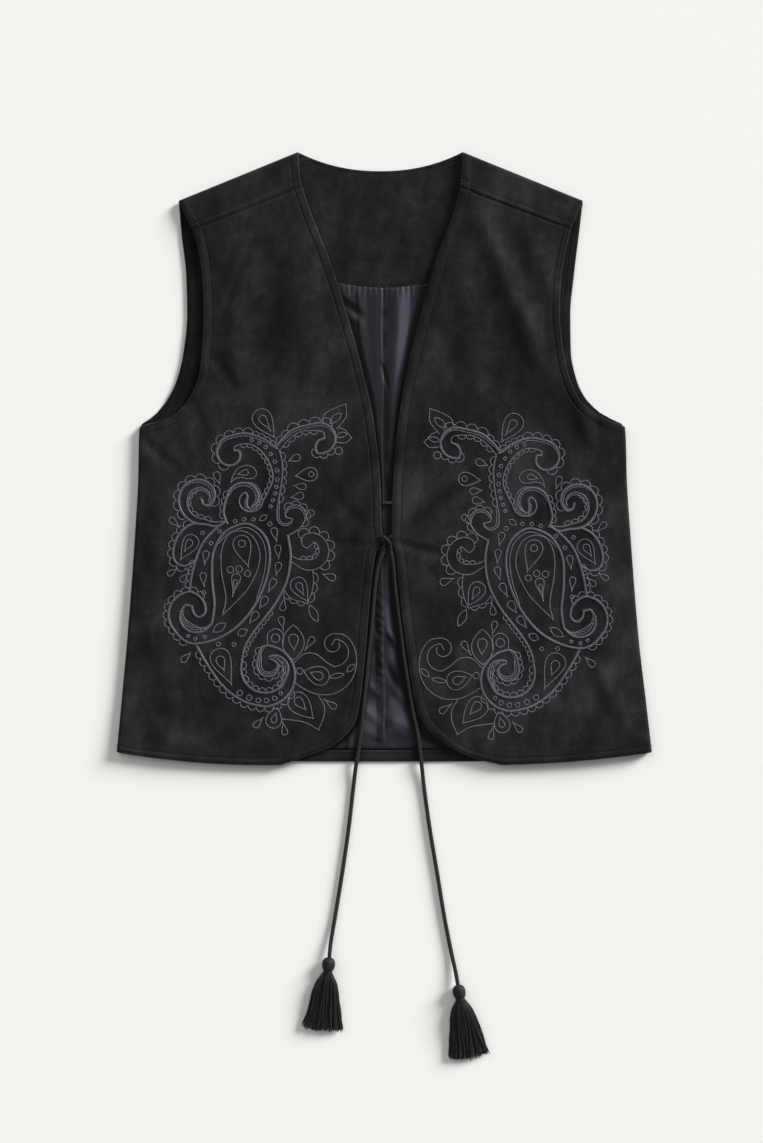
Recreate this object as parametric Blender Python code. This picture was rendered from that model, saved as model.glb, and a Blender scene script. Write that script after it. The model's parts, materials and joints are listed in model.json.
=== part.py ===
"""Embroidered gilet, laid flat on its back: suede shell, satin back lining, laced tie with two tassels.

Metres, +Z up. The cloth lies on the plane z = 0 with its neck towards +Y and its hem towards -Y.
Left and right are as seen from above, so left is -X. The origin is the middle of the garment's footprint.
"""

import math

import bmesh
import bpy
import numpy as np

MM = 0.001

# Cloth thicknesses, and the rounded folds where a front or a yoke turns over onto the back.
SHELL = 1.2 * MM
FRONT_WALL = 2.0 * MM
LINING_WALL = 1.0 * MM
SEAM_GAP = 0.3 * MM
ROLL = 3.7 * MM
ROLL_STEPS = 4
INSIDE_TOP = SHELL + SEAM_GAP + LINING_WALL

# The suede's black and the satin's grey, as the finished cloth looks in daylight.
SUEDE = ("suede", (0.014, 0.013, 0.014), 0.95)
SATIN = ("lining_satin", (0.062, 0.060, 0.070), 0.38)
CORD = ("tie_cord", (0.012, 0.012, 0.014), 0.6)
YARN = ("tassel_yarn", (0.010, 0.010, 0.013), 0.7)

# Edges of the cut pieces in millimetres: height above the middle, then x of the left and of the right edge.
BACK_ARMHOLE = (
    (258, -206, 199),
    (228, -203.5, 195.5),
    (183, -198.5, 190),
    (145, -197.5, 186.5),
    (108, -201, 187),
    (78, -208, 193),
    (63, -215, 200),
    (48, -226, 214),
    (39, -236, 229),
)
FRONT_ARMHOLE = (
    (258, -206, 199),
    (243, -199.5, 192.5),
    (228, -191.5, 186.5),
    (206, -185.5, 181.5),
    (180, -182, 177),
    (144, -180.5, 175.5),
    (104, -182.5, 180),
    (83, -185.5, 184.5),
    (63, -193.5, 192.5),
    (47, -206, 207),
    (38, -221.5, 224),
)
SIDE_SEAM = (
    (32, -245, 241),
    (-22, -246.5, 243),
    (-82, -250, 247),
    (-182, -257.5, 255),
    (-242, -263, 262),
    (-294, -268, 268),
)
FRONT_EDGE = (
    (307, -86, 78),
    (279, -84, 77),
    (262, -79, 74),
    (242, -72, 68),
    (199, -55, 52),
    (153, -40, 39),
    (93, -23, 24),
    (33, -10, 13.5),
    (-32, -3.5, 8.5),
    (-70, -2.5, 7.5),
    (-82, -0.5, 6.5),
    (-92, -7.5, 10.5),
    (-133, -13.5, 15),
    (-196, -19, 23),
    (-245, -24.5, 31),
    (-264, -29, 38),
    (-276, -38, 48),
    (-289, -54, 66),
    (-299, -80, 86),
    (-307, -104, 118),
)
FACING_EDGE = (
    (300, -160, 152),
    (60, -160, 152),
    (8, -236, 233),
)

# Heights in millimetres of the pieces' ends, at the outer edge and at the front edge.
SHOULDER_OUTER, SHOULDER_NECK = 258, 307
NECK_LEFT, NECK_RIGHT, NECK_DROP, NECK_ROUND = -86, 78, 18.7, 2.2
YOKE_SEAM = {"left": (228, 271.5), "right": (229, 271)}
UNDERARM, ROLL_STARTS = 32, 50
HEM_SIDE, HEM_FRONT, HEM_BACK = -294, -306.8, -303.7
HEM_BULGE = {"left": 4.0, "right": 2.5}
NECK_FACING_LOW, NECK_FACING_DIP = 180, 8
LINING_LOW = -292
INSET = 4.4
SHOULDER_INSET = 4.8

# Soft folds: the crest's two ends in millimetres, its half width and how far it stands up.
FRONT_FOLDS = (
    (-150, 215, -140, 60, 17, 0.7),
    (-112, 235, -92, 90, 15, 0.9),
    (-70, 190, -48, 40, 12, 0.7),
    (-205, -60, -222, -250, 22, 0.8),
    (-120, -240, -60, -150, 18, 0.6),
    (118, 225, 165, 105, 14, 1.0),
    (75, 200, 100, 60, 16, 0.8),
    (48, 120, 40, -20, 12, 0.7),
    (205, -40, 225, -230, 22, 0.9),
    (60, -190, 130, -265, 18, 0.7),
)
LINING_FOLDS = (
    (-3, 165, -1, -285, 3.5, 1.0),
    (-42, 150, -24, 104, 5, 1.0),
    (20, 165, 16, 60, 6, 1.0),
    (34, 150, 28, 80, 4, 0.8),
    (5, -160, 12, -205, 4, 1.0),
    (-6, -215, -5, -275, 3, 0.6),
    (11, -220, 15, -285, 3.5, 0.7),
)
NECK_LIFT = 0.8 * MM
HEM_LIFT = 0.8 * MM

# Tie: cord of this diameter, its bar and half knot between the front edges, and the route of its two ends.
CORD_DIAMETER = 4.0 * MM
BAR_HEIGHT = -44.5
BAR_LEVEL = 6.4
KNOT_DIAMETER = 3.4 * MM
KNOT_ROUTES = (
    ((-2.6, -78.4, 10.3), (1.0, -79.8, 10.9), (4.2, -83.0, 10.5), (5.9, -87.0, 8.6), (6.4, -91.6, 6.6)),
    ((7.6, -78.2, 10.4), (4.5, -80.0, 8.7), (2.0, -82.6, 7.4), (0.3, -86.4, 6.8), (-0.6, -91.6, 6.4)),
)
KNOT_POINTS = 12
KNOT_SIDES = 10
TIE_ROUTES = {
    "left": (
        (-0.7, -92.7, 6.3),
        (-5.6, -106, 5.2),
        (-9.8, -133, 4.8),
        (-12.2, -165, 4.8),
        (-15.4, -196, 4.8),
        (-18.6, -228, 4.8),
        (-21.2, -252, 4.8),
        (-23.4, -275, 4.8),
        (-26.2, -294, 4.9),
        (-27.9, -305, 4.8),
        (-29.4, -316, 3.4),
        (-31.2, -332, 2.2),
        (-35.8, -372, 2.1),
        (-42.0, -415, 2.1),
        (-49.0, -458, 2.2),
        (-53.4, -484, 4.0),
        (-55.0, -499.0, 6.2),
    ),
    "right": (
        (6.5, -92.8, 6.4),
        (9.0, -106, 5.2),
        (11.6, -133, 4.8),
        (15.6, -165, 4.8),
        (19.6, -196, 4.8),
        (24.6, -228, 4.8),
        (28.6, -252, 4.8),
        (33.2, -275, 4.8),
        (35.9, -294, 4.9),
        (37.2, -305, 4.8),
        (38.4, -316, 3.4),
        (40.2, -332, 2.2),
        (45.8, -372, 2.1),
        (53.0, -415, 2.1),
        (60.0, -458, 2.1),
        (66.6, -492, 2.2),
        (71.2, -513, 4.0),
        (73.7, -526.6, 6.2),
    ),
}
TIE_POINTS = 48

# Tassels: where the head's top is and where the skirt's foot lies, then the head's sections as distance
# from the top, half width, half height and middle's height above the floor, all in millimetres.
TASSEL_LINES = {"left": ((-55.1, -499.6), (-62.2, -572.5)), "right": ((73.8, -527.2), (85.2, -600))}
TASSEL_SECTIONS = (
    (0.0, 2.7, 2.7, 6.3),
    (1.2, 4.6, 4.5, 6.3),
    (4.2, 6.1, 6.0, 6.3),
    (10.5, 6.2, 6.0, 6.3),
    (13.6, 5.4, 5.2, 6.1),
    (15.2, 4.3, 4.2, 6.0),
    (17.5, 4.9, 4.7, 5.9),
    (24.0, 6.8, 5.1, 5.8),
    (31.0, 9.0, 5.3, 5.7),
)
SECTION_SIDES = 14
SKIRT_HALF_WIDTH = 18.5
SKIRT_LAYERS = (10, 12, 12, 10)
STRAND_SIDES = 3
STRAND_STEPS = 4
STRAND_ROOT, STRAND_FOOT = 0.5, 0.85


def material(finish):
    """The Principled material of one finish, made once and shared by its pieces."""
    name, colour, roughness = finish
    made = bpy.data.materials.get(name)
    if made is None:
        made = bpy.data.materials.new(name)
        made.use_nodes = True
        shader = made.node_tree.nodes["Principled BSDF"]
        shader.inputs["Base Color"].default_value = (*colour, 1)
        shader.inputs["Roughness"].default_value = roughness
        shader.inputs["Metallic"].default_value = 0
    return made


def show(name, data, finish):
    """One object of the scene, with its finish."""
    piece = bpy.data.objects.new(name, data)
    data.materials.append(material(finish))
    bpy.context.scene.collection.objects.link(piece)
    return piece


def ease(low, high, value):
    """0 at or before low, 1 at or past high, and a smooth S between them."""
    t = np.clip((np.asarray(value, float) - low) / (high - low), 0, 1)
    return t * t * (3 - 2 * t)


def through(knots, values, at):
    """Smooth curve through the given values, with no overshoot between two of them (monotone cubic)."""
    order = np.argsort(knots)
    h = np.asarray(knots, float)[order]
    v = np.asarray(values, float)[order]
    step = np.diff(h)
    slope = np.diff(v) / step
    before, after = slope[:-1], slope[1:]
    bends = before * after <= 0
    safe = np.where(bends, 1, before), np.where(bends, 1, after)
    weight = 2 * step[1:] + step[:-1], step[1:] + 2 * step[:-1]
    inner = (weight[0] + weight[1]) / (weight[0] / safe[0] + weight[1] / safe[1])
    tangent = np.concatenate([slope[:1], np.where(bends, 0, inner), slope[-1:]])
    at = np.clip(np.asarray(at, float), h[0], h[-1])
    i = np.clip(np.searchsorted(h, at) - 1, 0, len(step) - 1)
    t = (at - h[i]) / step[i]
    return (
        v[i] * (1 + 2 * t) * (1 - t) ** 2
        + v[i + 1] * t * t * (3 - 2 * t)
        + step[i] * (tangent[i] * t * (1 - t) ** 2 - tangent[i + 1] * t * t * (1 - t))
    )


def edge_x(table, side, height):
    """X of a cut edge at the given heights, in millimetres."""
    column = 1 if side == "left" else 2
    return through([row[0] for row in table], [row[column] for row in table], height)


def rows_between(count, *dense):
    """Row positions from 0 to 1: an even count, and more of them in each dense (start, end, count) stretch."""
    rows = set(np.round(np.linspace(0, 1, count), 5))
    for start, end, extra in dense:
        rows |= set(np.round(np.linspace(start, end, extra), 5))
    return np.array(sorted(rows))


def roll():
    """A quarter-round fold in steps: how far in from the fold, and the share of the way down to its middle."""
    first = math.asin(SEAM_GAP / 2 / ROLL)
    angle = np.linspace(first, math.pi / 2, ROLL_STEPS)
    return ROLL * (1 - np.cos(angle)), 1 - np.sin(angle)


def patch(top, low, outer, inner, u, v):
    """Points of a panel between four edges (a Coons patch).

    top and low are functions of u, outer and inner of v, each giving x and y in millimetres. u runs from
    the outer edge to the inner one and v from the top to the low one, and both are grids of one shape.
    """
    u, v = u[..., None], v[..., None]
    zero, one = np.zeros(1), np.ones(1)
    across = (1 - v) * top(u[..., 0]) + v * low(u[..., 0])
    along = (1 - u) * outer(v[..., 0]) + u * inner(v[..., 0])
    ends = (1 - v) * ((1 - u) * top(zero) + u * top(one)) + v * ((1 - u) * low(zero) + u * low(one))
    return (across + along - ends) * MM


def edge(x, y):
    """X and y side by side."""
    return np.stack(np.broadcast_arrays(x, y), axis=-1)


def surface_normals(points):
    """Unit normals of a grid of points, looking up."""
    across = np.gradient(points, axis=1)
    along = np.gradient(points, axis=0)
    normal = np.cross(across, along)
    normal /= np.linalg.norm(normal, axis=2, keepdims=True)
    return normal * np.where(normal[..., 2:] < 0, -1, 1)


def wall(name, outer, thickness, finish, seams=None, looks_up=True):
    """A closed cloth wall. The grid of points is its outer face, and the inner one lies a thickness behind.

    seams is 1 at points on a fold's seam and 0 elsewhere: there the wall's end is cut level.
    """
    rows, columns = outer.shape[:2]
    normal = surface_normals(outer)
    if seams is not None:
        level = normal * (1, 1, 0)
        level /= np.maximum(np.linalg.norm(level, axis=2, keepdims=True), 1e-9)
        normal = normal * (1 - seams[..., None]) + level * seams[..., None]
        normal /= np.linalg.norm(normal, axis=2, keepdims=True)
    inner = outer - normal * thickness * (1 if looks_up else -1)
    index = np.arange(rows * columns).reshape(rows, columns)
    a, b, c, d = index[:-1, :-1], index[:-1, 1:], index[1:, 1:], index[1:, :-1]
    face = np.stack([a, b, c, d], axis=-1).reshape(-1, 4)
    rim = np.concatenate([index[0, :-1], index[:-1, -1], index[-1, :0:-1], index[:0:-1, 0]])
    after = np.roll(rim, -1)
    back = rows * columns
    strip = np.stack([rim, rim + back, after + back, after], axis=-1)
    faces = np.concatenate([face, face[:, ::-1] + back, strip])
    points = np.concatenate([outer.reshape(-1, 3), inner.reshape(-1, 3)])
    return closed(name, points, faces, finish)


def closed(name, points, faces, finish):
    """A closed solid from its points and faces, facing outwards, shaded smooth but for its edges."""
    data = bpy.data.meshes.new(name)
    data.from_pydata(points.tolist(), [], faces.tolist() if hasattr(faces, "tolist") else faces)
    mesh = bmesh.new()
    mesh.from_mesh(data)
    bmesh.ops.recalc_face_normals(mesh, faces=mesh.faces)
    if mesh.calc_volume(signed=True) < 0:
        bmesh.ops.reverse_faces(mesh, faces=mesh.faces)
    mesh.to_mesh(data)
    mesh.free()
    data.shade_smooth()
    data.set_sharp_from_angle(angle=math.radians(40))
    return show(name, data, finish)


def folds_at(table, x, y):
    """How far soft folds lift the cloth at points x, y (metres): each is a smooth crest along its line."""
    lift = np.zeros(np.broadcast(x, y).shape)
    for x0, y0, x1, y1, half_width, rise in table:
        start = np.array([x0, y0]) * MM
        along = np.array([x1, y1]) * MM - start
        length = np.linalg.norm(along)
        ahead = ((x - start[0]) * along[0] + (y - start[1]) * along[1]) / length / length
        aside = ((x - start[0]) * along[1] - (y - start[1]) * along[0]) / length
        ends = ease(-0.3, 0.3, ahead) * ease(-0.3, 0.3, 1 - ahead)
        lift += rise * MM * ends * np.exp(-((aside / (half_width * MM)) ** 2))
    return lift


def front_level(x, y):
    """Height of the fronts' upper face: level cloth, its folds, and the lifts at the neck and the hem."""
    neck = NECK_LIFT * ease(0.12, 0.27, y) * (1 - ease(0.06, 0.13, np.abs(x)))
    hem = HEM_LIFT * ease(-0.22, -0.3, y)
    return 2 * ROLL + np.minimum(folds_at(FRONT_FOLDS, x, y) + neck + hem, 1.1 * MM)


def turned_over(level, rise):
    """Height of cloth that turns down over a fold: rise is 0 at the fold's seam and 1 on the level."""
    return ROLL + (level - ROLL) * rise


def front(side):
    """A front, from the yoke seam to the hem: it rolls over the side seam, and its lower corner is round."""
    table = FRONT_ARMHOLE + SIDE_SEAM
    v = rows_between(19, (0.30, 0.40, 8), (0.58, 0.64, 4), (0.92, 1.0, 7))
    seam_outer, seam_neck = YOKE_SEAM[side]

    def outer(t):
        y = seam_outer + (HEM_SIDE - seam_outer) * t
        return edge(edge_x(table, side, y), y)

    def inner(t):
        y = seam_neck + (HEM_FRONT - seam_neck) * t
        return edge(edge_x(FRONT_EDGE, side, y), y)

    def top(t):
        return outer(np.zeros(1)) * (1 - t[..., None]) + inner(np.zeros(1)) * t[..., None]

    def hem(t):
        straight = outer(np.ones(1)) * (1 - t[..., None]) + inner(np.ones(1)) * t[..., None]
        return straight - edge(0, HEM_BULGE[side] * 4 * t * (1 - t))

    width = np.linalg.norm(inner(v) - outer(v), axis=1)[:, None] * MM
    inwards, drop = roll()
    share = np.linspace(0, 1, 11)[1:]
    near = np.broadcast_to(inwards, (len(v), len(inwards)))
    u = np.concatenate([near, ROLL + (width - ROLL) * share], axis=1) / width
    points = patch(top, hem, outer, inner, u, np.broadcast_to(v[:, None], u.shape))
    x, y = points[..., 0], points[..., 1]
    level = front_level(x, y)
    rolled = (1 - ease(UNDERARM, ROLL_STARTS, outer(v)[:, 1]))[:, None]
    rise = 1 - rolled * np.concatenate([drop, np.zeros(len(share))])
    seams = np.zeros(u.shape)
    seams[:, 0] = rolled[:, 0]
    return wall(f"front_{side}", np.dstack([points, turned_over(level, rise)]), FRONT_WALL, SUEDE, seams)


def yoke(side):
    """The shoulder yoke: from the shoulder fold forwards and down to the seam with the front."""
    seam_outer, seam_neck = YOKE_SEAM[side]
    gap = SEAM_GAP / MM
    tip_x = edge_x(BACK_ARMHOLE, side, SHOULDER_OUTER)
    neck_x = NECK_LEFT if side == "left" else NECK_RIGHT
    slope = (SHOULDER_NECK - SHOULDER_OUTER) / abs(tip_x - neck_x)
    inwards, drop = roll()
    down = inwards / MM * math.hypot(1, slope)
    share = np.linspace(0, 1, 5)[1:]

    def ends(high, low):
        return np.concatenate([high - down, high - down[-1] - (high - down[-1] - low) * share])

    outer_y = ends(SHOULDER_OUTER, seam_outer + gap)
    inner_y = ends(SHOULDER_NECK, seam_neck + gap)
    outer = edge(edge_x(FRONT_ARMHOLE, side, outer_y), outer_y)[:, None]
    inner = edge(edge_x(FRONT_EDGE, side, inner_y), inner_y)[:, None]
    u = np.linspace(0, 1, 10)[None, :, None]
    points = (outer * (1 - u) + inner * u) * MM
    rise = 1 - np.concatenate([drop, np.zeros(len(share))])[:, None]
    z = turned_over(front_level(points[..., 0], points[..., 1]), rise)
    seams = np.zeros(z.shape)
    seams[0] = 1
    return wall(f"yoke_{side}", np.dstack([points, z]), FRONT_WALL, SUEDE, seams)


def neckline(x):
    """Height in millimetres of the back's upper edge at x: the shoulder slopes and the round neck between."""
    middle = (NECK_LEFT + NECK_RIGHT) / 2
    half = (NECK_RIGHT - NECK_LEFT) / 2
    round_neck = SHOULDER_NECK - NECK_DROP * (1 - np.clip(np.abs(x - middle) / half, 0, 1) ** NECK_ROUND)
    left_tip, right_tip = BACK_ARMHOLE[0][1:]
    fall = SHOULDER_NECK - SHOULDER_OUTER
    left = SHOULDER_NECK - fall * (NECK_LEFT - x) / (NECK_LEFT - left_tip)
    right = SHOULDER_NECK - fall * (x - NECK_RIGHT) / (right_tip - NECK_RIGHT)
    return np.where(x < NECK_LEFT, left, np.where(x > NECK_RIGHT, right, round_neck))


def back_hem(x):
    """Height in millimetres of the back's hem at x: level in the middle, a little higher at the side seams."""
    return HEM_BACK + (HEM_SIDE - HEM_BACK) * np.abs(np.asarray(x) / SIDE_SEAM[-1][2]) ** 4


def back():
    """The suede back: flat where it rests, rolled up along the side seams and the shoulders."""
    table = BACK_ARMHOLE + SIDE_SEAM
    inwards, drop = roll()
    inwards = inwards / MM
    v = rows_between(15, (0.33, 0.42, 8))
    side_y = SHOULDER_OUTER + (HEM_SIDE - SHOULDER_OUTER) * v
    left, right = (edge_x(table, side, side_y)[:, None] for side in ("left", "right"))
    neck_steps = [0.29, 0.315, 0.69, 0.715]
    between = np.unique(np.concatenate([np.linspace(0, 1, 11), neck_steps]))[1:-1]
    span = right - left - 2 * inwards[-1]
    middle = left + inwards[-1] + span * between
    x = np.concatenate([left + inwards, middle, right - inwards[::-1]], axis=1)
    top, low = neckline(x[0]), back_hem(x[-1])
    y = top + (low - top) * v[:, None]
    by_shoulder = top[None] - inwards[:, None]
    x = np.concatenate([np.repeat(x[:1], len(inwards) - 1, axis=0), x], axis=0)
    y = np.concatenate([by_shoulder[:-1], np.minimum(y, by_shoulder[-1])], axis=0)
    z, seams = np.zeros(x.shape), np.zeros(x.shape)
    on_shoulder = np.maximum(ease(0, 10, NECK_LEFT - x[0]), ease(0, 10, x[0] - NECK_RIGHT))
    z[: len(drop)] = drop[:, None] * on_shoulder
    seams[0] = on_shoulder
    by_side = 1 - ease(UNDERARM, ROLL_STARTS, y)
    z[:, : len(drop)] = np.maximum(z[:, : len(drop)], by_side[:, : len(drop)] * drop)
    z[:, -len(drop) :] = np.maximum(z[:, -len(drop) :], by_side[:, -len(drop) :] * drop[::-1])
    seams[:, 0] = np.maximum(seams[:, 0], by_side[:, 0])
    seams[:, -1] = np.maximum(seams[:, -1], by_side[:, -1])
    points = np.dstack([edge(x, y) * MM, z * ROLL])
    return wall("back_shell", points, SHELL, SUEDE, seams, looks_up=False)


def inside_edge(side, height):
    """X of the inside pieces' outer edge: the armhole's edge, then inside the rolled side seam."""
    inset = INSET * (1 - ease(ROLL_STARTS + 1, ROLL_STARTS + 12, height))
    return edge_x(BACK_ARMHOLE + SIDE_SEAM, side, height) + inset * (1 if side == "left" else -1)


def inside_piece(name, top, low, outer, inner, u, v, finish, folds=()):
    """A piece that lies on the back's inside, between four edges, with its own soft folds."""
    grid_u, grid_v = np.meshgrid(u, v)
    points = patch(top, low, outer, inner, grid_u, grid_v)
    z = INSIDE_TOP + folds_at(folds, points[..., 0], points[..., 1])
    return wall(name, np.dstack([points, z]), LINING_WALL, finish)


def line(start, end):
    """A straight edge between two points, as a function of 0 to 1."""
    start, end = np.array(start, float), np.array(end, float)
    return lambda t: start + (end - start) * t[..., None]


def facing_x(side, height):
    """X of the armhole facing's inner edge, which runs straight between its table's points."""
    rows = FACING_EDGE[::-1]
    column = 1 if side == "left" else 2
    return np.interp(height, [row[0] for row in rows], [row[column] for row in rows])


def share_of(heights, start, end):
    """Where the given heights lie between start and end, from 0 to 1."""
    return (start - np.array(heights, float)) / (start - end)


ZERO, ONE = np.zeros(1), np.ones(1)


def armhole_facing(side):
    """The suede facing inside one of the back's armholes, down to the side seam."""
    corner, foot = FACING_EDGE[1][0], FACING_EDGE[2][0]
    tip = SHOULDER_OUTER - SHOULDER_INSET - 0.6
    head = float(neckline(facing_x(side, SHOULDER_OUTER))) - SHOULDER_INSET

    def outer(t):
        y = tip + (foot - tip) * t
        return edge(inside_edge(side, y), y)

    def inner(t):
        y = head + (foot - head) * t
        return edge(facing_x(side, y), y)

    v = np.unique(np.concatenate([np.linspace(0, 1, 18), share_of([corner], head, foot)]))
    top = line(outer(ZERO)[0], inner(ZERO)[0])
    low = line(outer(ONE)[0], inner(ONE)[0])
    inside_piece(f"armhole_facing_{side}", top, low, outer, inner, np.linspace(0, 1, 3), v, SUEDE)


def neck_facing_x(t):
    """X along the neck facing's long edges, between the armhole facings."""
    left = facing_x("left", SHOULDER_NECK) + SEAM_GAP / MM
    return left + (facing_x("right", SHOULDER_NECK) - SEAM_GAP / MM - left) * t


def neck_facing_low(x):
    """Height of the neck facing's lower edge: level, with a dip in the middle."""
    return NECK_FACING_LOW - NECK_FACING_DIP * np.clip(1 - (x / 60) ** 2, 0, 1)


def neck_facing():
    """The suede facing inside the back's neck."""

    def upper(t):
        x = neck_facing_x(t)
        on_shoulder = np.maximum(ease(-14, 0, NECK_LEFT - x), ease(-14, 0, x - NECK_RIGHT))
        return edge(x, neckline(x) - SHOULDER_INSET * on_shoulder)

    def lower(t):
        x = neck_facing_x(t)
        return edge(x, neck_facing_low(x))

    left = line(upper(ZERO)[0], lower(ZERO)[0])
    right = line(upper(ONE)[0], lower(ONE)[0])
    u, v = np.linspace(0, 1, 27), np.linspace(0, 1, 5)
    inside_piece("back_neck_facing", upper, lower, left, right, u, v, SUEDE)


def lining():
    """The satin lining of the back: between the armhole facings, then out to the side seams, to the hem."""
    gap = SEAM_GAP / MM
    corner, foot = FACING_EDGE[1][0], FACING_EDGE[2][0]
    start = NECK_FACING_LOW - gap
    heights = np.concatenate(
        [np.linspace(start, corner, 6), [(corner + foot) / 2, foot, foot - 0.5], np.linspace(-22, LINING_LOW, 10)]
    )

    def side_edge(side):
        sign = 1 if side == "left" else -1

        def curve(t):
            y = start + (LINING_LOW - start) * t
            beside = facing_x(side, y) + 2 * gap * sign
            return edge(np.where(y > foot - 0.25, beside, inside_edge(side, y)), y)

        return curve

    left, right = side_edge("left"), side_edge("right")

    def upper(t):
        x = left(ZERO)[0, 0] + (right(ZERO) - left(ZERO))[0, 0] * t
        return edge(x, neck_facing_low(x) - gap)

    def lower(t):
        x = left(ONE)[0, 0] + (right(ONE) - left(ONE))[0, 0] * t
        return edge(x, LINING_LOW)

    u = np.unique(np.concatenate([np.linspace(0, 1, 9), np.linspace(0.4, 0.6, 19)]))
    v = share_of(heights, start, LINING_LOW)
    inside_piece("back_lining", upper, lower, left, right, u, v, SATIN, LINING_FOLDS)


def hem_facing():
    """The suede strip inside the back's hem."""
    top_at = LINING_LOW - SEAM_GAP / MM
    reach = SIDE_SEAM[-1][2] - INSET - 1.5

    def upper(t):
        return edge(-reach + 2 * reach * t, top_at)

    def lower(t):
        x = -reach + 2 * reach * t
        return edge(x, np.minimum(back_hem(x) + 0.4, top_at - 3))

    left = line(upper(ZERO)[0], lower(ZERO)[0])
    right = line(upper(ONE)[0], lower(ONE)[0])
    inside_piece("hem_facing", upper, lower, left, right, np.linspace(0, 1, 17), np.linspace(0, 1, 3), SUEDE)


def smooth_route(route, count):
    """Evenly spaced points on a smooth curve through the route's points (Catmull-Rom), in metres."""
    knots = np.array(route, float) * MM
    ends = [2 * knots[:1] - knots[1:2], knots, 2 * knots[-1:] - knots[-2:-1]]
    padded = np.concatenate(ends)
    t = np.linspace(0, 1, 24, endpoint=False)[:, None]
    fine = []
    for a, b, c, d in zip(padded, padded[1:], padded[2:], padded[3:]):
        fine.append(b + 0.5 * t * (c - a + t * (2 * a - 5 * b + 4 * c - d + t * (3 * (b - c) + d - a))))
    fine = np.concatenate(fine + [knots[-1:]])
    length = np.concatenate([[0], np.cumsum(np.linalg.norm(np.diff(fine, axis=0), axis=1))])
    at = np.linspace(0, length[-1], count)
    return np.stack([np.interp(at, length, fine[:, i]) for i in range(3)], axis=1)


def cord(name, points, diameter, finish):
    """A round cord along the points, closed at both ends."""
    curve = bpy.data.curves.new(name, "CURVE")
    curve.dimensions = "3D"
    curve.bevel_depth = diameter / 2
    curve.bevel_resolution = 2
    curve.use_fill_caps = True
    spline = curve.splines.new("POLY")
    spline.points.add(len(points) - 1)
    for point, place in zip(spline.points, points):
        point.co = (*place, 1)
    return show(name, curve, finish)


def swept(points, radius, sides):
    """Rings of a round tube along the points, each square to the way they run."""
    way = np.gradient(points, axis=0)
    way /= np.linalg.norm(way, axis=1, keepdims=True)
    aside = np.cross(way, (0, 0, 1))
    aside /= np.linalg.norm(aside, axis=1, keepdims=True)
    over = np.cross(aside, way)
    angle = np.arange(sides) * 2 * math.pi / sides
    ring = np.cos(angle)[None, :, None] * aside[:, None] + np.sin(angle)[None, :, None] * over[:, None]
    return (points[:, None] + radius * ring).reshape(-1, 3)


def knot():
    """The half knot between the front edges: two strands of the cord that cross and press together."""
    strands = []
    for i, route in enumerate(KNOT_ROUTES):
        faces = []
        tube(faces, 0, KNOT_POINTS, KNOT_SIDES)
        rings = swept(smooth_route(route, KNOT_POINTS), KNOT_DIAMETER / 2, KNOT_SIDES)
        strands.append(closed("lace_knot" if i == 0 else "under_strand", rings, faces, CORD))
    fuse(*strands)


def fuse(body, other):
    """Joins the other solid into the body."""
    join = body.modifiers.new("join", "BOOLEAN")
    join.operation = "UNION"
    join.solver = "EXACT"
    join.object = other
    other.hide_render = True
    other.display_type = "WIRE"


def lacing():
    """The cord's bar across the front edges, the half knot below it, and its two free ends."""
    knot()
    ends = [edge_x(FRONT_EDGE, side, BAR_HEIGHT) for side in ("left", "right")]
    inside = SEAM_GAP / MM + 0.1
    bar = [(x, BAR_HEIGHT, BAR_LEVEL) for x in np.linspace(ends[0] + inside, ends[1] - inside, 5)]
    cord("lace_bar", np.array(bar) * MM, 3.6 * MM, CORD)
    for side, route in TIE_ROUTES.items():
        cord(f"tie_{side}", smooth_route(route, TIE_POINTS), CORD_DIAMETER, CORD)


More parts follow.
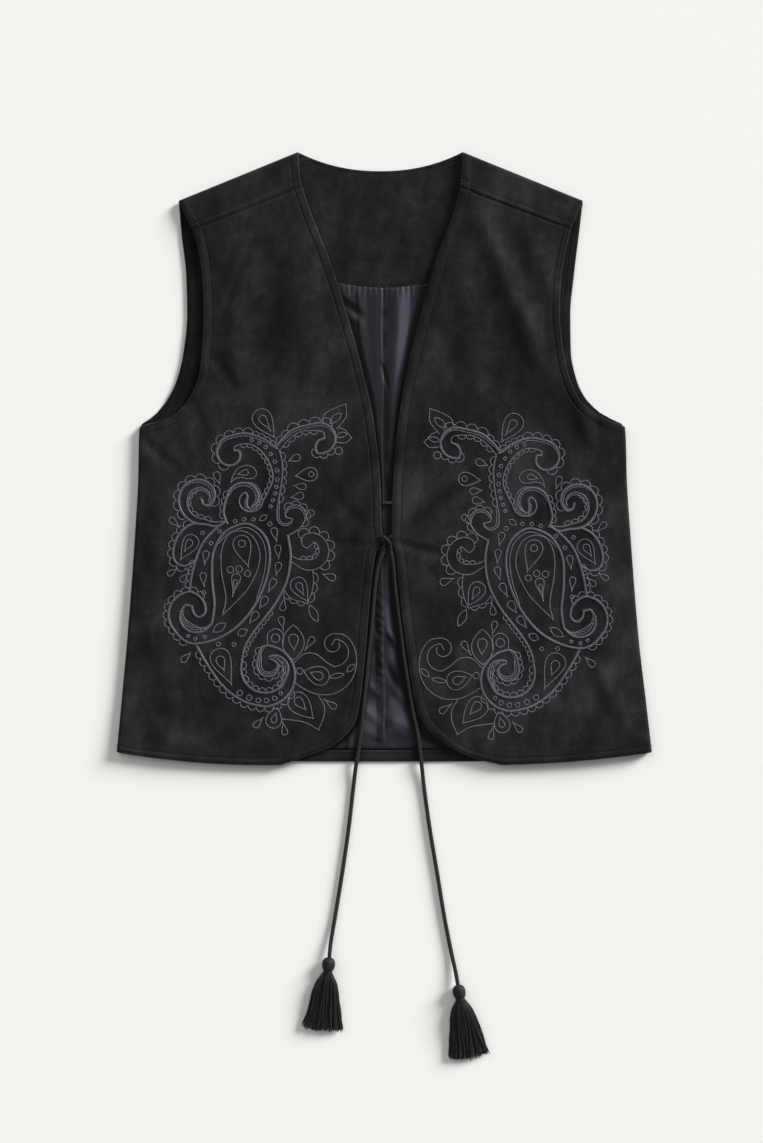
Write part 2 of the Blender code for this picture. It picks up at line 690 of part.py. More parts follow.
def tassel(side):
    """A yarn tassel lying on the floor: round head, bound neck, and a fan of strands rooted in its skirt."""
    (x0, y0), (x1, y1) = TASSEL_LINES[side]
    length = math.hypot(x1 - x0, y1 - y0)
    ahead = np.array([x1 - x0, y1 - y0]) / length
    aside = np.array([-ahead[1], ahead[0]])

    def place(distance, sideways, height):
        flat = np.array([x0, y0]) + distance[:, None] * ahead + sideways[:, None] * aside
        return np.concatenate([flat, height[:, None]], axis=1) * MM

    angle = np.arange(SECTION_SIDES) * 2 * math.pi / SECTION_SIDES
    points, faces = [], []
    for distance, half_width, half_height, middle in TASSEL_SECTIONS:
        ring = place(
            np.full(SECTION_SIDES, distance), half_width * np.cos(angle), middle + half_height * np.sin(angle)
        )
        points.append(ring)
    tube(faces, 0, len(TASSEL_SECTIONS), SECTION_SIDES)
    body = closed(f"tassel_{side}", np.concatenate(points), faces, YARN)

    root_at, root_wide, root_high, root_middle = TASSEL_SECTIONS[-1]
    strands, strand_faces = [], []
    layers = len(SKIRT_LAYERS)
    for layer, count in enumerate(SKIRT_LAYERS):
        tier = (layer + 0.5) / layers * 2 - 1
        root_z = root_middle + tier * (root_high - 1.1)
        foot_z = 1.3 + 2.15 * layer
        reach = math.sqrt(1 - (tier * 0.85) ** 2) * (root_wide - 0.9)
        for i in range(count):
            share = ((i + 0.5) / count * 2 - 1) + (0.04 if layer % 2 else -0.04)
            wave = 0.5 * math.sin(1.7 * i + 2.3 * layer)
            end = length - 2.5 * share * share - 1.6 * (1 + math.sin(2.9 * i + 1.3 * layer))
            t = np.linspace(0, 1, STRAND_STEPS + 1)
            distance = root_at - 1.2 + (end - root_at + 1.2) * t
            sideways = share * (reach + (SKIRT_HALF_WIDTH - reach) * t**0.9) + wave * np.sin(math.pi * t)
            height = root_z + (foot_z - root_z) * ease(0, 1, t)
            size = STRAND_ROOT + (STRAND_FOOT - STRAND_ROOT) * t
            start = len(strands) * STRAND_SIDES
            for d, s, h, r in zip(distance, sideways, height, size):
                around = np.arange(STRAND_SIDES) * 2 * math.pi / STRAND_SIDES
                ring = place(np.full(STRAND_SIDES, d), s + r * np.cos(around), h + r * np.sin(around))
                strands.append(ring)
            tube(strand_faces, start, STRAND_STEPS + 1, STRAND_SIDES)
    fuse(body, closed(f"strands_{side}", np.concatenate(strands), strand_faces, YARN))


def tube(faces, start, rings, sides):
    """Adds the faces of a closed tube whose rings of points begin at start."""
    for r in range(rings - 1):
        for s in range(sides):
            a = start + r * sides + s
            b = start + r * sides + (s + 1) % sides
            faces.append([a, b, b + sides, a + sides])
    last = start + (rings - 1) * sides
    faces.append([start + s for s in range(sides)][::-1])
    faces.append([last + s for s in range(sides)])


def clear_scene():
    """Empties the scene before the gilet is built."""
    for old in list(bpy.data.objects):
        bpy.data.objects.remove(old, do_unlink=True)


def main():
    clear_scene()
    back()
    neck_facing()
    lining()
    hem_facing()
    for side in ("left", "right"):
        armhole_facing(side)
    for side in ("left", "right"):
        front(side)
        yoke(side)
    lacing()
    for side in ("left", "right"):
        tassel(side)


main()
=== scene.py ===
"""Looks of the embroidered gilet: black suede, grey satin lining, raised embroidery, cord and tassels."""

import json
import math

import bmesh
import bpy
import numpy as np
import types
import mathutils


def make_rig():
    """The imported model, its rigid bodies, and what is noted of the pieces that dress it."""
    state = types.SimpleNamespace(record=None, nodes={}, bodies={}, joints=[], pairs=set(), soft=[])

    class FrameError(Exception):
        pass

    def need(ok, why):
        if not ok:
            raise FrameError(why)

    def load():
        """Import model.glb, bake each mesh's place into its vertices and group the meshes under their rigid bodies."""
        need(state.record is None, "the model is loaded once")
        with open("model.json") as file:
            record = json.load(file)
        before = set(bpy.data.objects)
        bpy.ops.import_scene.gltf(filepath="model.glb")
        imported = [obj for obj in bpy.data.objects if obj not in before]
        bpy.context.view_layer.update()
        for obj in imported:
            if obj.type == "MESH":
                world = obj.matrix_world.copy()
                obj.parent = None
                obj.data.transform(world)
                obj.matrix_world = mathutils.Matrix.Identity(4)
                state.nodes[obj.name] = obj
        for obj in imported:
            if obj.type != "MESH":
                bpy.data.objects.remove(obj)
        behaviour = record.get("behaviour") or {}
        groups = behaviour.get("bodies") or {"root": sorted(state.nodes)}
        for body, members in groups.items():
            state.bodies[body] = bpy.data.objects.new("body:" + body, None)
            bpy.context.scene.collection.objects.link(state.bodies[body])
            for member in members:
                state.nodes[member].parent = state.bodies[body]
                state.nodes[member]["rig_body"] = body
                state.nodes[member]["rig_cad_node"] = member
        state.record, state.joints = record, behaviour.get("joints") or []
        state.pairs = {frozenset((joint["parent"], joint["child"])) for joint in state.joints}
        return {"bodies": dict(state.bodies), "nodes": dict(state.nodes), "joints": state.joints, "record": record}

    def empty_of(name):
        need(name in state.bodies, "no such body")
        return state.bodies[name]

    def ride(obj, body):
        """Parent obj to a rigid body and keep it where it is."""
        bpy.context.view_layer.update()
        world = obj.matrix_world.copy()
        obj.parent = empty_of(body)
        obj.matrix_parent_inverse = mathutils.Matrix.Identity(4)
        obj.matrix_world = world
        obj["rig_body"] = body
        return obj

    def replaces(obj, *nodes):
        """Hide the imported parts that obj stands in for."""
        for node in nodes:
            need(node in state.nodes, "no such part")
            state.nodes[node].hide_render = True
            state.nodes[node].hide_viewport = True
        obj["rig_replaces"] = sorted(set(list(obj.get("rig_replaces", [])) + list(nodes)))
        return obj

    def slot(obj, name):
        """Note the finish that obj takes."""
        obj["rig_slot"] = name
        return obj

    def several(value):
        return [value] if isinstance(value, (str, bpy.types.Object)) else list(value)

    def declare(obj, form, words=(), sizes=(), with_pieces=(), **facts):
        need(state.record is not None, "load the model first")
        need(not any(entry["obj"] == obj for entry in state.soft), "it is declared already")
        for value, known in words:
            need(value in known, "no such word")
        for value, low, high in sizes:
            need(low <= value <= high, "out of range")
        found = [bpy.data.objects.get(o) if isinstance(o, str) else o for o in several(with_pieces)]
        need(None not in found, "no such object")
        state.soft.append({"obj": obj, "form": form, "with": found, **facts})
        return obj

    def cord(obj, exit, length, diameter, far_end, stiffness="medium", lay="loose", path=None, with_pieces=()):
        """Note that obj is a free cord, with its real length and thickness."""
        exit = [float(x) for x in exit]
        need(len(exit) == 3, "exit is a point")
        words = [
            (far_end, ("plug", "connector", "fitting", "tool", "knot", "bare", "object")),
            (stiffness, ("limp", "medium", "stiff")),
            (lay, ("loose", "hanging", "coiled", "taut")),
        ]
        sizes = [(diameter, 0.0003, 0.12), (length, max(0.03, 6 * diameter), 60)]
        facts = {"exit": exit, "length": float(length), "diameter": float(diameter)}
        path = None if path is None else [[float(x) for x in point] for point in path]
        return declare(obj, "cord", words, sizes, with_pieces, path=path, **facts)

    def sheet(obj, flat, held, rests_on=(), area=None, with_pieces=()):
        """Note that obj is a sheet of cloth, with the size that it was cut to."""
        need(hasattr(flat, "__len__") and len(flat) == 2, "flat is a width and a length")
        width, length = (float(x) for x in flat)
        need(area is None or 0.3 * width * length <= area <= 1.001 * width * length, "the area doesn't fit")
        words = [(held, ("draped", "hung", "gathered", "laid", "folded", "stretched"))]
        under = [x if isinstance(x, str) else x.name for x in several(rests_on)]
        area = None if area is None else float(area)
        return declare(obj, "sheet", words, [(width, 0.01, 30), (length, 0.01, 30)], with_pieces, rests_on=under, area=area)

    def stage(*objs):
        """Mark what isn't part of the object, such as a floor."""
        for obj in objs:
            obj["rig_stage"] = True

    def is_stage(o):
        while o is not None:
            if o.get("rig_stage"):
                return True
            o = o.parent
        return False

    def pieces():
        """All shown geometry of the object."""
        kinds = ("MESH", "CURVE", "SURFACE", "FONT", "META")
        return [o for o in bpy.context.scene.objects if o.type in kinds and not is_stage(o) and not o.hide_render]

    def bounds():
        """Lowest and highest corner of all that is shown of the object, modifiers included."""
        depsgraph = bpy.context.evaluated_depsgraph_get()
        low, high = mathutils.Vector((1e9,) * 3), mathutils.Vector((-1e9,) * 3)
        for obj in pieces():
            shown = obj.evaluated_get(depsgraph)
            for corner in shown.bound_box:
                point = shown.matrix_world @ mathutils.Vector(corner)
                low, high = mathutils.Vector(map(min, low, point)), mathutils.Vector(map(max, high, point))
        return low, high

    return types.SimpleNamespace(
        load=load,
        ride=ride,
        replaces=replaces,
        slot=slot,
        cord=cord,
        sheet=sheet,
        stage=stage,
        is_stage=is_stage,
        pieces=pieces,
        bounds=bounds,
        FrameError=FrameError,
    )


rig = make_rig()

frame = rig.load()
cad_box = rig.bounds()
MM = 0.001
SIDES = ("left", "right")

# ---- table, light and camera ----
# The gilet lies on a plain pale table and is seen from straight above. One large soft lamp stands beyond
# its upper right, and the room's even light fills the rest.

TABLE_HALF, TABLE_GAP = 6, 0.0004
TABLE_COLOUR = (0.90, 0.902, 0.875, 1)
VIEW_MIDDLE, VIEW_HEIGHT = (-0.00275, -0.11325), 2.2295
ROOM_COLOUR, ROOM_LIGHT = (1, 1, 0.985, 1), 0.245


def shader_material(name, **values):
    """A Principled material with constant values set on the shader's own sockets."""
    made = bpy.data.materials.new(name)
    made.use_nodes = True
    shader = made.node_tree.nodes["Principled BSDF"]
    for socket, value in values.items():
        shader.inputs[socket.replace("_", " ")].default_value = value
    return made


table = bpy.data.meshes.new("table")
corners = [(x * TABLE_HALF, y * TABLE_HALF, 0) for x, y in ((-1, -1), (1, -1), (1, 1), (-1, 1))]
table.from_pydata(corners, [], [(0, 1, 2, 3)])
table.materials.append(shader_material("table_paper", Base_Color=TABLE_COLOUR, Roughness=0.9))
table_top = bpy.data.objects.new("table", table)
table_top.location.z = -TABLE_GAP
bpy.context.scene.collection.objects.link(table_top)
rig.stage(table_top)

camera = bpy.data.cameras.new("camera")
camera.lens = 70
camera.sensor_width = 36
camera.clip_end = 20
camera_top = bpy.data.objects.new("camera", camera)
camera_top.location = (*VIEW_MIDDLE, VIEW_HEIGHT)
bpy.context.scene.collection.objects.link(camera_top)
bpy.context.scene.camera = camera_top


def sun(name, towards, spread, strength):
    """A broad, even light that shines from the direction given, as a window far off does."""
    light = bpy.data.lights.new(name, "SUN")
    light.angle = math.radians(spread)
    light.energy = strength
    made = bpy.data.objects.new(name, light)
    made.location = towards
    across = math.hypot(towards[0], towards[1])
    turn = math.atan2(towards[1], towards[0]) + math.pi / 2
    made.rotation_euler = (math.atan2(across, towards[2]), 0, turn)
    bpy.context.scene.collection.objects.link(made)


sun("window", towards=(0.77, 0.56, 0.38), spread=24, strength=5.0)
sun("ceiling", towards=(-0.40, 0.48, 0.62), spread=50, strength=0.72)
world = bpy.data.worlds.new("room")
world.use_nodes = True
background = world.node_tree.nodes["Background"].inputs
background["Color"].default_value, background["Strength"].default_value = ROOM_COLOUR, ROOM_LIGHT
bpy.context.scene.world = world
bpy.context.scene.view_settings.view_transform = "Standard"

# ---- lace: the two ties ----
# One round black cord closes the fronts. Its two free ends leave the half knot, run down the lining beside
# the front edges, drop off the hem and lie on the table, each with a tassel on its end.

CORD_DIAMETER = 4.0 * MM
CORD_SIDES = 16
CORD_END = 0.9
TIE_STEP = 2.0
# Start (m) and length (m) of each tie, as the record gives them.
TIE_ENDS = {"left": ((-0.0007, -0.0925, 0.0063), 0.4116), "right": ((0.0065, -0.0926, 0.0064), 0.4405)}
# Columns: x, y and height of the cord's middle.
TIE_ROUTES = {
    "left": (
        (-0.7, -92.7, 6.3), (-5.6, -106, 5.2), (-9.8, -133, 4.8), (-12.2, -165, 4.8), (-15.4, -196, 4.8),
        (-18.6, -228, 4.8), (-21.2, -252, 4.8), (-23.4, -275, 4.8), (-26.2, -294, 4.9), (-27.9, -305, 4.8),
        (-29.4, -316, 3.4), (-31.2, -332, 2.2), (-35.8, -372, 2.1), (-42.0, -415, 2.1), (-49.0, -458, 2.2),
        (-53.4, -484, 4.0), (-55.0, -499.0, 6.2),
    ),
    "right": (
        (6.5, -92.8, 6.4), (9.0, -106, 5.2), (11.6, -133, 4.8), (15.6, -165, 4.8), (19.6, -196, 4.8),
        (24.6, -228, 4.8), (28.6, -252, 4.8), (33.2, -275, 4.8), (35.9, -294, 4.9), (37.2, -305, 4.8),
        (38.4, -316, 3.4), (40.2, -332, 2.2), (45.8, -372, 2.1), (53.0, -415, 2.1), (60.0, -458, 2.1),
        (66.6, -492, 2.2), (71.2, -513, 4.0), (73.7, -526.6, 6.2),
    ),
}


def edge(x, y):
    """X and y side by side."""
    return np.stack(np.broadcast_arrays(x, y), axis=-1)


def unit(rows):
    """The rows' directions, each of length 1."""
    return rows / np.maximum(np.linalg.norm(rows, axis=-1, keepdims=True), 1e-9)


def lengths(path):
    """How far along a path each of its points lies."""
    return np.concatenate([[0], np.cumsum(np.linalg.norm(np.diff(path, axis=0), axis=1))])


def at_lengths(path, at, values=None):
    """Points of a path at the given lengths along it, or there the values that its points have."""
    columns = (path if values is None else values).T
    return np.stack([np.interp(at, lengths(path), column) for column in columns], axis=1)


def spaced(path, step):
    """Points about a step apart along a path, from its first to its last."""
    whole = lengths(path)[-1]
    return at_lengths(path, np.linspace(0, whole, max(2, round(whole / step) + 1)))


def smooth_route(route, step):
    """Points a step apart on a smooth curve through the route's points (Catmull-Rom), in the route's
    unit."""
    knots = np.array(route, float)
    padded = np.concatenate([2 * knots[:1] - knots[1:2], knots, 2 * knots[-1:] - knots[-2:-1]])
    t = np.linspace(0, 1, 24, endpoint=False)[None, :, None]
    a, b, c, d = (padded[i : len(knots) - 1 + i, None] for i in range(4))
    fine = b + 0.5 * t * (c - a + t * (2 * a - 5 * b + 4 * c - d + t * (3 * (b - c) + d - a)))
    return spaced(np.concatenate([fine.reshape(-1, knots.shape[1]), knots[-1:]]), step)


def make_mesh(name, points, faces, material, uv=None):
    """An object from arrays of points (metres) and four-sided faces, smooth, at the scene's origin."""
    mesh = bpy.data.meshes.new(name)
    faces = np.asarray(faces, dtype=np.int32)
    mesh.vertices.add(len(points))
    mesh.vertices.foreach_set("co", np.ascontiguousarray(points, dtype=np.float32).ravel())
    mesh.loops.add(faces.size)
    mesh.loops.foreach_set("vertex_index", faces.ravel())
    mesh.polygons.add(len(faces))
    mesh.polygons.foreach_set("loop_start", np.arange(0, faces.size, faces.shape[1], dtype=np.int32))
    mesh.polygons.foreach_set("use_smooth", np.ones(len(faces), dtype=bool))
    mesh.update(calc_edges=True)
    mesh.validate()
    if uv is not None:
        layer = mesh.uv_layers.new(name="UVMap")
        layer.data.foreach_set("uv", np.ascontiguousarray(uv[faces.ravel()], dtype=np.float32).ravel())
    mesh.materials.append(material)
    made = bpy.data.objects.new(name, mesh)
    bpy.context.scene.collection.objects.link(made)
    return made


def grid_faces(rows, columns, start=0, wrap=False):
    """Index quads of a grid of points, closed round its columns when wrap is set."""
    index = start + np.arange(rows * columns).reshape(rows, columns)
    if wrap:
        index = np.concatenate([index, index[:, :1]], axis=1)
    return np.stack([index[:-1, :-1], index[:-1, 1:], index[1:, 1:], index[1:, :-1]], axis=-1).reshape(-1, 4)


def rings_round(path, size, sides):
    """Circles of the given sizes round one path or many, each square to the way that its path runs."""
    way = unit(np.gradient(path, axis=-2))
    aside = unit(np.cross(way, (0, 0, 1.0)))
    over = np.cross(aside, way)
    angle = np.arange(sides)[:, None] * 2 * math.pi / sides
    ring = np.cos(angle) * aside[..., None, :] + np.sin(angle) * over[..., None, :]
    return path[..., None, :] + size[..., None, None] * ring


def cord_piece(name, path, radius, sides, material):
    """A closed cord along the path, its ends rounded off, with UVs of turns round it and millimetres along
    it."""
    size = np.full(len(path), radius)
    size[[0, -1]] *= CORD_END
    rings = rings_round(path, size, sides)
    rings = np.concatenate([rings, rings[:, :1]], axis=1)
    length = lengths(path) / MM
    uv = edge(np.linspace(0, 1, sides + 1)[None], length[:, None]).reshape(-1, 2)
    uv = np.concatenate([uv, [[0.5, 0], [0.5, length[-1]]]])
    points = np.concatenate([rings.reshape(-1, 3), path[[0, -1]]])
    made = make_mesh(name, points, grid_faces(len(path), sides + 1), material, uv)
    first = np.arange(sides + 1)
    last = first + (len(path) - 1) * (sides + 1)
    return close_caps(made, [(len(uv) - 2, first[1:], first[:-1]), (len(uv) - 1, last[:-1], last[1:])])


def close_caps(made, fans):
    """Closes a tube's ends and merges its seam. A fan is its middle point and both ends of each of its
    sides."""
    mesh = bmesh.new()
    mesh.from_mesh(made.data)
    mesh.verts.ensure_lookup_table()
    for middle, starts, ends in fans:
        for corners in zip(np.full(len(starts), middle), starts, ends):
            mesh.faces.new([mesh.verts[i] for i in corners]).smooth = True
    bmesh.ops.remove_doubles(mesh, verts=mesh.verts, dist=0.02 * MM)
    bmesh.ops.recalc_face_normals(mesh, faces=mesh.faces)
    mesh.to_mesh(made.data)
    mesh.free()
    return made


class Nodes:
    """Short ways to add nodes to a Principled material. Each gives the new node's output."""

    def __init__(self, material):
        self.tree = material.node_tree
        self.shader = self.tree.nodes["Principled BSDF"]

    def add(self, kind, inputs=None, **settings):
        """A node of any kind, with its settings, and a value or another node's output on each input
        named."""
        node = self.tree.nodes.new("ShaderNode" + kind)
        for key, value in settings.items():
            setattr(node, key, value)
        for key, value in (inputs or {}).items():
            if isinstance(value, bpy.types.NodeSocket):
                self.tree.links.new(value, node.inputs[key])
            else:
                node.inputs[key].default_value = value
        return node.outputs[0]

    def place(self):
        """The garment's own coordinates, in metres."""
        return self.add("TexCoord").node.outputs["Object"]

    def mark(self, name):
        """The value that the mesh's points have under this name."""
        return self.add("Attribute", attribute_name=name).node.outputs["Fac"]

    def noise(self, scale, detail, roughness=0.5, distortion=0.0, at=None):
        """Soft noise in the garment's own coordinates, or in others."""
        values = {"Scale": scale, "Detail": detail, "Roughness": roughness, "Distortion": distortion}
        return self.add("TexNoise", {"Vector": at or self.place(), **values})

    def math(self, kind, first, second=0.0, third=0.0):
        """One sum on up to three values."""
        return self.add("Math", {0: first, 1: second, 2: third}, operation=kind)

    def remap(self, value, low, high, to_low, to_high, soft=False):
        """A value's range from low to high turned into another range, with soft ends if asked."""
        kind = "SMOOTHSTEP" if soft else "LINEAR"
        values = {0: value, 1: low, 2: high, 3: to_low, 4: to_high}
        return self.add("MapRange", values, interpolation_type=kind)

    def total(self, *parts):
        """The sum of several outputs, each times its share."""
        height = 0.0
        for output, share in parts:
            height = self.math("MULTIPLY_ADD", output, share, height)
        return height

    def paint(self, colour, shade):
        """Gives the shader a colour that the shade makes lighter or darker."""
        self.tree.links.new(self.scaled(colour, shade), self.shader.inputs["Base Color"])

    def scaled(self, colour, shade):
        """A colour times a number."""
        return self.add("VectorMath", {0: colour, 3: shade}, operation="SCALE")

    def roughen(self, height, strength, depth):
        """Gives the shader's surface a relief, its depth in millimetres."""
        bump = self.add("Bump", {"Strength": strength, "Distance": depth * MM, "Height": height})
        self.tree.links.new(bump, self.shader.inputs["Normal"])


def placed(piece, slot, node=None):
    """Puts a piece in the one body and its material's slot, and names the solid that it stands for."""
    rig.ride(piece, "root")
    if node:
        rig.replaces(piece, node)
    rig.slot(piece, slot)
    return piece


def braid_material(name, colour, turns, pitch):
    """Round braid: two sets of slanted strands wound opposite ways, from UVs of turns round and mm along. The strands'
    height also sets the colour: painted shade in the grooves between them, painted light on their crests."""
    sheen = dict(Sheen_Weight=0.03, Sheen_Roughness=0.4)
    made = shader_material(name, Roughness=0.55, Specular_IOR_Level=0.3, **sheen)
    nodes = Nodes(made)
    around, along = nodes.add("SeparateXYZ", {0: nodes.add("UVMap")}).node.outputs[:2]
    waves = []
    for way in (1, -1):
        slant = nodes.math("MULTIPLY", around, way * turns * 2 * math.pi)
        waves.append(nodes.math("SINE", nodes.math("MULTIPLY_ADD", along, 2 * math.pi / pitch, slant)))
    height = nodes.math("MAXIMUM", *waves)
    nodes.roughen(height, strength=0.9, depth=0.35)
    # Painted shade between the strands and painted light on their crests.
    nodes.paint(colour, nodes.remap(height, -1.0, 1.0, 0.45, 1.2))
    return made


cord_black = braid_material("cord_black", colour=(0.0080, 0.0076, 0.0090), turns=4, pitch=3.2)
tie_paths = {side: smooth_route(route, TIE_STEP) * MM for side, route in TIE_ROUTES.items()}
ties = {}
for side, path in tie_paths.items():
    tie = cord_piece(f"tie_{side}_cord", path, CORD_DIAMETER / 2, CORD_SIDES, cord_black)
    ties[side] = placed(tie, "tie_cord", f"tie_{side}")

# ---- lace: bar and half knot ----
# Higher up the same cord shows as a bar between the front edges. Below it the ends cross in a half knot.

BAR = ((-2.9, -44.5, 6.5), (2.5, -44.9, 6.7), (7.9, -44.5, 6.5))
KNOT_STRANDS = (
    ((-2.9, -78.2, 9.9), (1.0, -79.8, 10.9), (4.2, -83.0, 10.5), (5.9, -87.0, 8.6), (6.5, -92.9, 6.4)),
    ((7.9, -78.0, 10.0), (4.5, -80.0, 8.7), (2.0, -82.6, 7.4), (0.3, -86.4, 6.8), (-0.7, -92.8, 6.3)),
)
BAR_RADIUS, KNOT_RADIUS, LACE_STEP = 1.8 * MM, 1.85 * MM, 0.8

bar = cord_piece("lace_bar_cord", smooth_route(BAR, LACE_STEP) * MM, BAR_RADIUS, CORD_SIDES, cord_black)
placed(bar, "tie_cord", "lace_bar")
for i, (route, node) in enumerate(zip(KNOT_STRANDS, ("lace_knot", None)), 1):
    path = smooth_route(route, LACE_STEP) * MM
    strand = cord_piece(f"lace_knot_strand_{i}", path, KNOT_RADIUS, CORD_SIDES, cord_black)
    placed(strand, "tie_cord", node)

# ---- back ----
# Black suede, cut in one piece and laid face down on the table. Its side seams and shoulders roll up to
# meet the fronts and yokes, and its armholes, neck and hem are turned and pressed.

SHELL, LINING_WALL, FRONT_WALL = 1.2, 1.0, 2.0
SEAM_GAP = 0.3
ROLL = 3.7
INSIDE_TOP = SHELL + SEAM_GAP + LINING_WALL
BACK_STITCH_AWAY, FACING_STITCH_AWAY = 7, 7.5
# Columns of every edge's table: height, x of the left edge, x of the right edge.
BACK_ARMHOLE = (
    (258, -206, 199), (228, -203.5, 195.5), (183, -198.5, 190), (145, -197.5, 186.5), (108, -201, 187),
    (78, -208, 193), (63, -215, 200), (48, -226, 214), (39, -236, 229),
)
SIDE_SEAM = (
    (32, -245, 241), (-22, -246.5, 243), (-82, -250, 247), (-182, -257.5, 255), (-242, -263, 262),
    (-294, -268, 268),
)
SHOULDER_OUTER, SHOULDER_NECK = 258, 307
NECK_LEFT, NECK_RIGHT, NECK_DROP, NECK_ROUND = -86, 78, 18.7, 2.2
UNDERARM, ROLL_STARTS = 32, 50
HEM_SIDE, HEM_FRONT, HEM_BACK = -294, -306.8, -303.7
ZERO, ONE = np.zeros(1), np.ones(1)
BACK_SIDES = BACK_ARMHOLE + SIDE_SEAM
# Columns: place on the brushed tone's scale, colour.
SUEDE_TONES = (
    (0.41, (0.0066, 0.0059, 0.0063, 1)),
    (0.50, (0.0146, 0.0134, 0.0143, 1)),
    (0.60, (0.0305, 0.0285, 0.0300, 1)),
)


def ease(low, high, value):
    """0 at or before low, 1 at or past high, and a smooth S between them."""
    t = np.clip((np.asarray(value, float) - low) / (high - low), 0, 1)
    return t * t * (3 - 2 * t)


def through(knots, values, at):
    """Smooth curve through the given values, with no overshoot between two of them (monotone cubic)."""
    order = np.argsort(knots)
    h = np.asarray(knots, float)[order]
    v = np.asarray(values, float)[order]
    step = np.diff(h)
    slope = np.diff(v) / step
    before, after = slope[:-1], slope[1:]
    bends = before * after <= 0
    safe = np.where(bends, 1, before), np.where(bends, 1, after)
    weight = 2 * step[1:] + step[:-1], step[1:] + 2 * step[:-1]
    inner = (weight[0] + weight[1]) / (weight[0] / safe[0] + weight[1] / safe[1])
    tangent = np.concatenate([slope[:1], np.where(bends, 0, inner), slope[-1:]])
    at = np.clip(np.asarray(at, float), h[0], h[-1])
    i = np.clip(np.searchsorted(h, at) - 1, 0, len(step) - 1)
    t = (at - h[i]) / step[i]
    return (
        v[i] * (1 + 2 * t) * (1 - t) ** 2
        + v[i + 1] * t * t * (3 - 2 * t)
        + step[i] * (tangent[i] * t * (1 - t) ** 2 - tangent[i + 1] * t * t * (1 - t))
    )


def edge_x(rows, side, height):
    """X of a cut edge at the given heights."""
    column = 1 + SIDES.index(side)
    return through([row[0] for row in rows], [row[column] for row in rows], height)


def edge_at(rows, side, height):
    """Points of a cut edge at the given heights."""
    return edge(edge_x(rows, side, height), height)


def line(start, end):
    """A straight edge between two points, as a function of 0 to 1."""
    start, end = np.array(start, float), np.array(end, float)
    return lambda t: start + (end - start) * t[..., None]


def patch(top, low, outer, inner, u, v):
    """Points between four edges: each pair of edges blended, less the blend of the corners (a Coons
    patch)."""
    u, v = u[..., None], v[..., None]
    across = (1 - v) * top(u[..., 0]) + v * low(u[..., 0])
    along = (1 - u) * outer(v[..., 0]) + u * inner(v[..., 0])
    ends = (1 - v) * ((1 - u) * top(ZERO) + u * top(ONE)) + v * ((1 - u) * low(ZERO) + u * low(ONE))
    return across + along - ends


def away_from(points, path, offset=None):
    """Distance of each point from a path of points, and the offset value at the nearest place of the
    path."""
    flat = points.reshape(-1, 2)
    a, run = path[:-1], np.diff(path, axis=0)
    square = np.maximum((run**2).sum(axis=1), 1e-9)
    best, value = np.full(len(flat), 1e9), np.zeros(len(flat))
    for first in range(0, len(a), 40):
        part = slice(first, first + 40)
        t = np.clip(((flat[:, None] - a[part]) * run[part]).sum(axis=2) / square[part], 0, 1)
        gap = np.linalg.norm(flat[:, None] - (a[part] + t[..., None] * run[part]), axis=2)
        nearest = gap.argmin(axis=1)
        low = gap[np.arange(len(flat)), nearest]
        closer = low < best
        best = np.where(closer, low, best)
        if offset is not None:
            value = np.where(closer, offset[first + nearest], value)
    return best.reshape(points.shape[:-1]), value.reshape(points.shape[:-1])


def from_rims(points, rims):
    """Distance of each point from the nearest of several paths."""
    return np.min([away_from(points, path)[0] for path in rims], axis=0)


def cloth(name, points, height, half, material, seams=None, looks_up=True, wall=1.0, values=None):
    """A closed cloth wall in millimetres. points and height give the face that shows, half is the wall's
    half thickness at each point, and seams is 1 where the wall ends level at a fold's seam."""
    face = np.dstack([points, height])
    normal = unit(np.cross(np.gradient(face, axis=1), np.gradient(face, axis=0)))
    normal *= np.where(normal[..., 2:] < 0, -1, 1)
    if seams is not None:
        share = seams[..., None]
        normal = unit(normal * (1 - share) + unit(normal * (1, 1, 0)) * share)
    behind = -normal if looks_up else normal
    middle = face + behind * wall / 2
    outer, inner = middle - behind * half[..., None], middle + behind * half[..., None]
    rows, columns = height.shape
    index = np.arange(rows * columns).reshape(rows, columns)
    rim = np.concatenate([index[0, :-1], index[:-1, -1], index[-1, :0:-1], index[:0:-1, 0]])
    after = np.roll(rim, -1)
    count = rows * columns
    walls = np.stack([rim, rim + count, after + count, after], axis=-1)
    faces = np.concatenate([grid_faces(rows, columns), grid_faces(rows, columns, count)[:, ::-1], walls])
    made = make_mesh(name, np.concatenate([outer.reshape(-1, 3), inner.reshape(-1, 3)]) * MM, faces, material)
    signed = np.cross(outer[0, 1] - outer[0, 0], outer[1, 0] - outer[0, 0])[2]
    if (signed > 0) != looks_up:
        made.data.flip_normals()
    for key, value in (values or {}).items():
        layer = made.data.attributes.new(key, "FLOAT", "POINT")
        layer.data.foreach_set("value", np.tile(value.ravel(), 2).astype(np.float32))
    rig.ride(made, "root")
    return made


def rounded(distance, reach, wall, least=0.06):
    """Half thickness of a wall whose edge is a half circle: full from reach inwards, nearly none at the
    edge."""
    t = np.clip(1 - distance / reach, 0, 1)
    return wall / 2 * np.maximum(np.sqrt(1 - t * t), least)


def neckline(x):
    """Height of the back's upper edge at x: the shoulder slopes and the round neck between them."""
    middle = (NECK_LEFT + NECK_RIGHT) / 2
    half = (NECK_RIGHT - NECK_LEFT) / 2
    round_neck = SHOULDER_NECK - NECK_DROP * (1 - np.clip(np.abs(x - middle) / half, 0, 1) ** NECK_ROUND)
    left_tip, right_tip = BACK_ARMHOLE[0][1:]
    fall = SHOULDER_NECK - SHOULDER_OUTER
    left = SHOULDER_NECK - fall * (NECK_LEFT - x) / (NECK_LEFT - left_tip)
    right = SHOULDER_NECK - fall * (x - NECK_RIGHT) / (right_tip - NECK_RIGHT)
    return np.where(x < NECK_LEFT, left, np.where(x > NECK_RIGHT, right, round_neck))


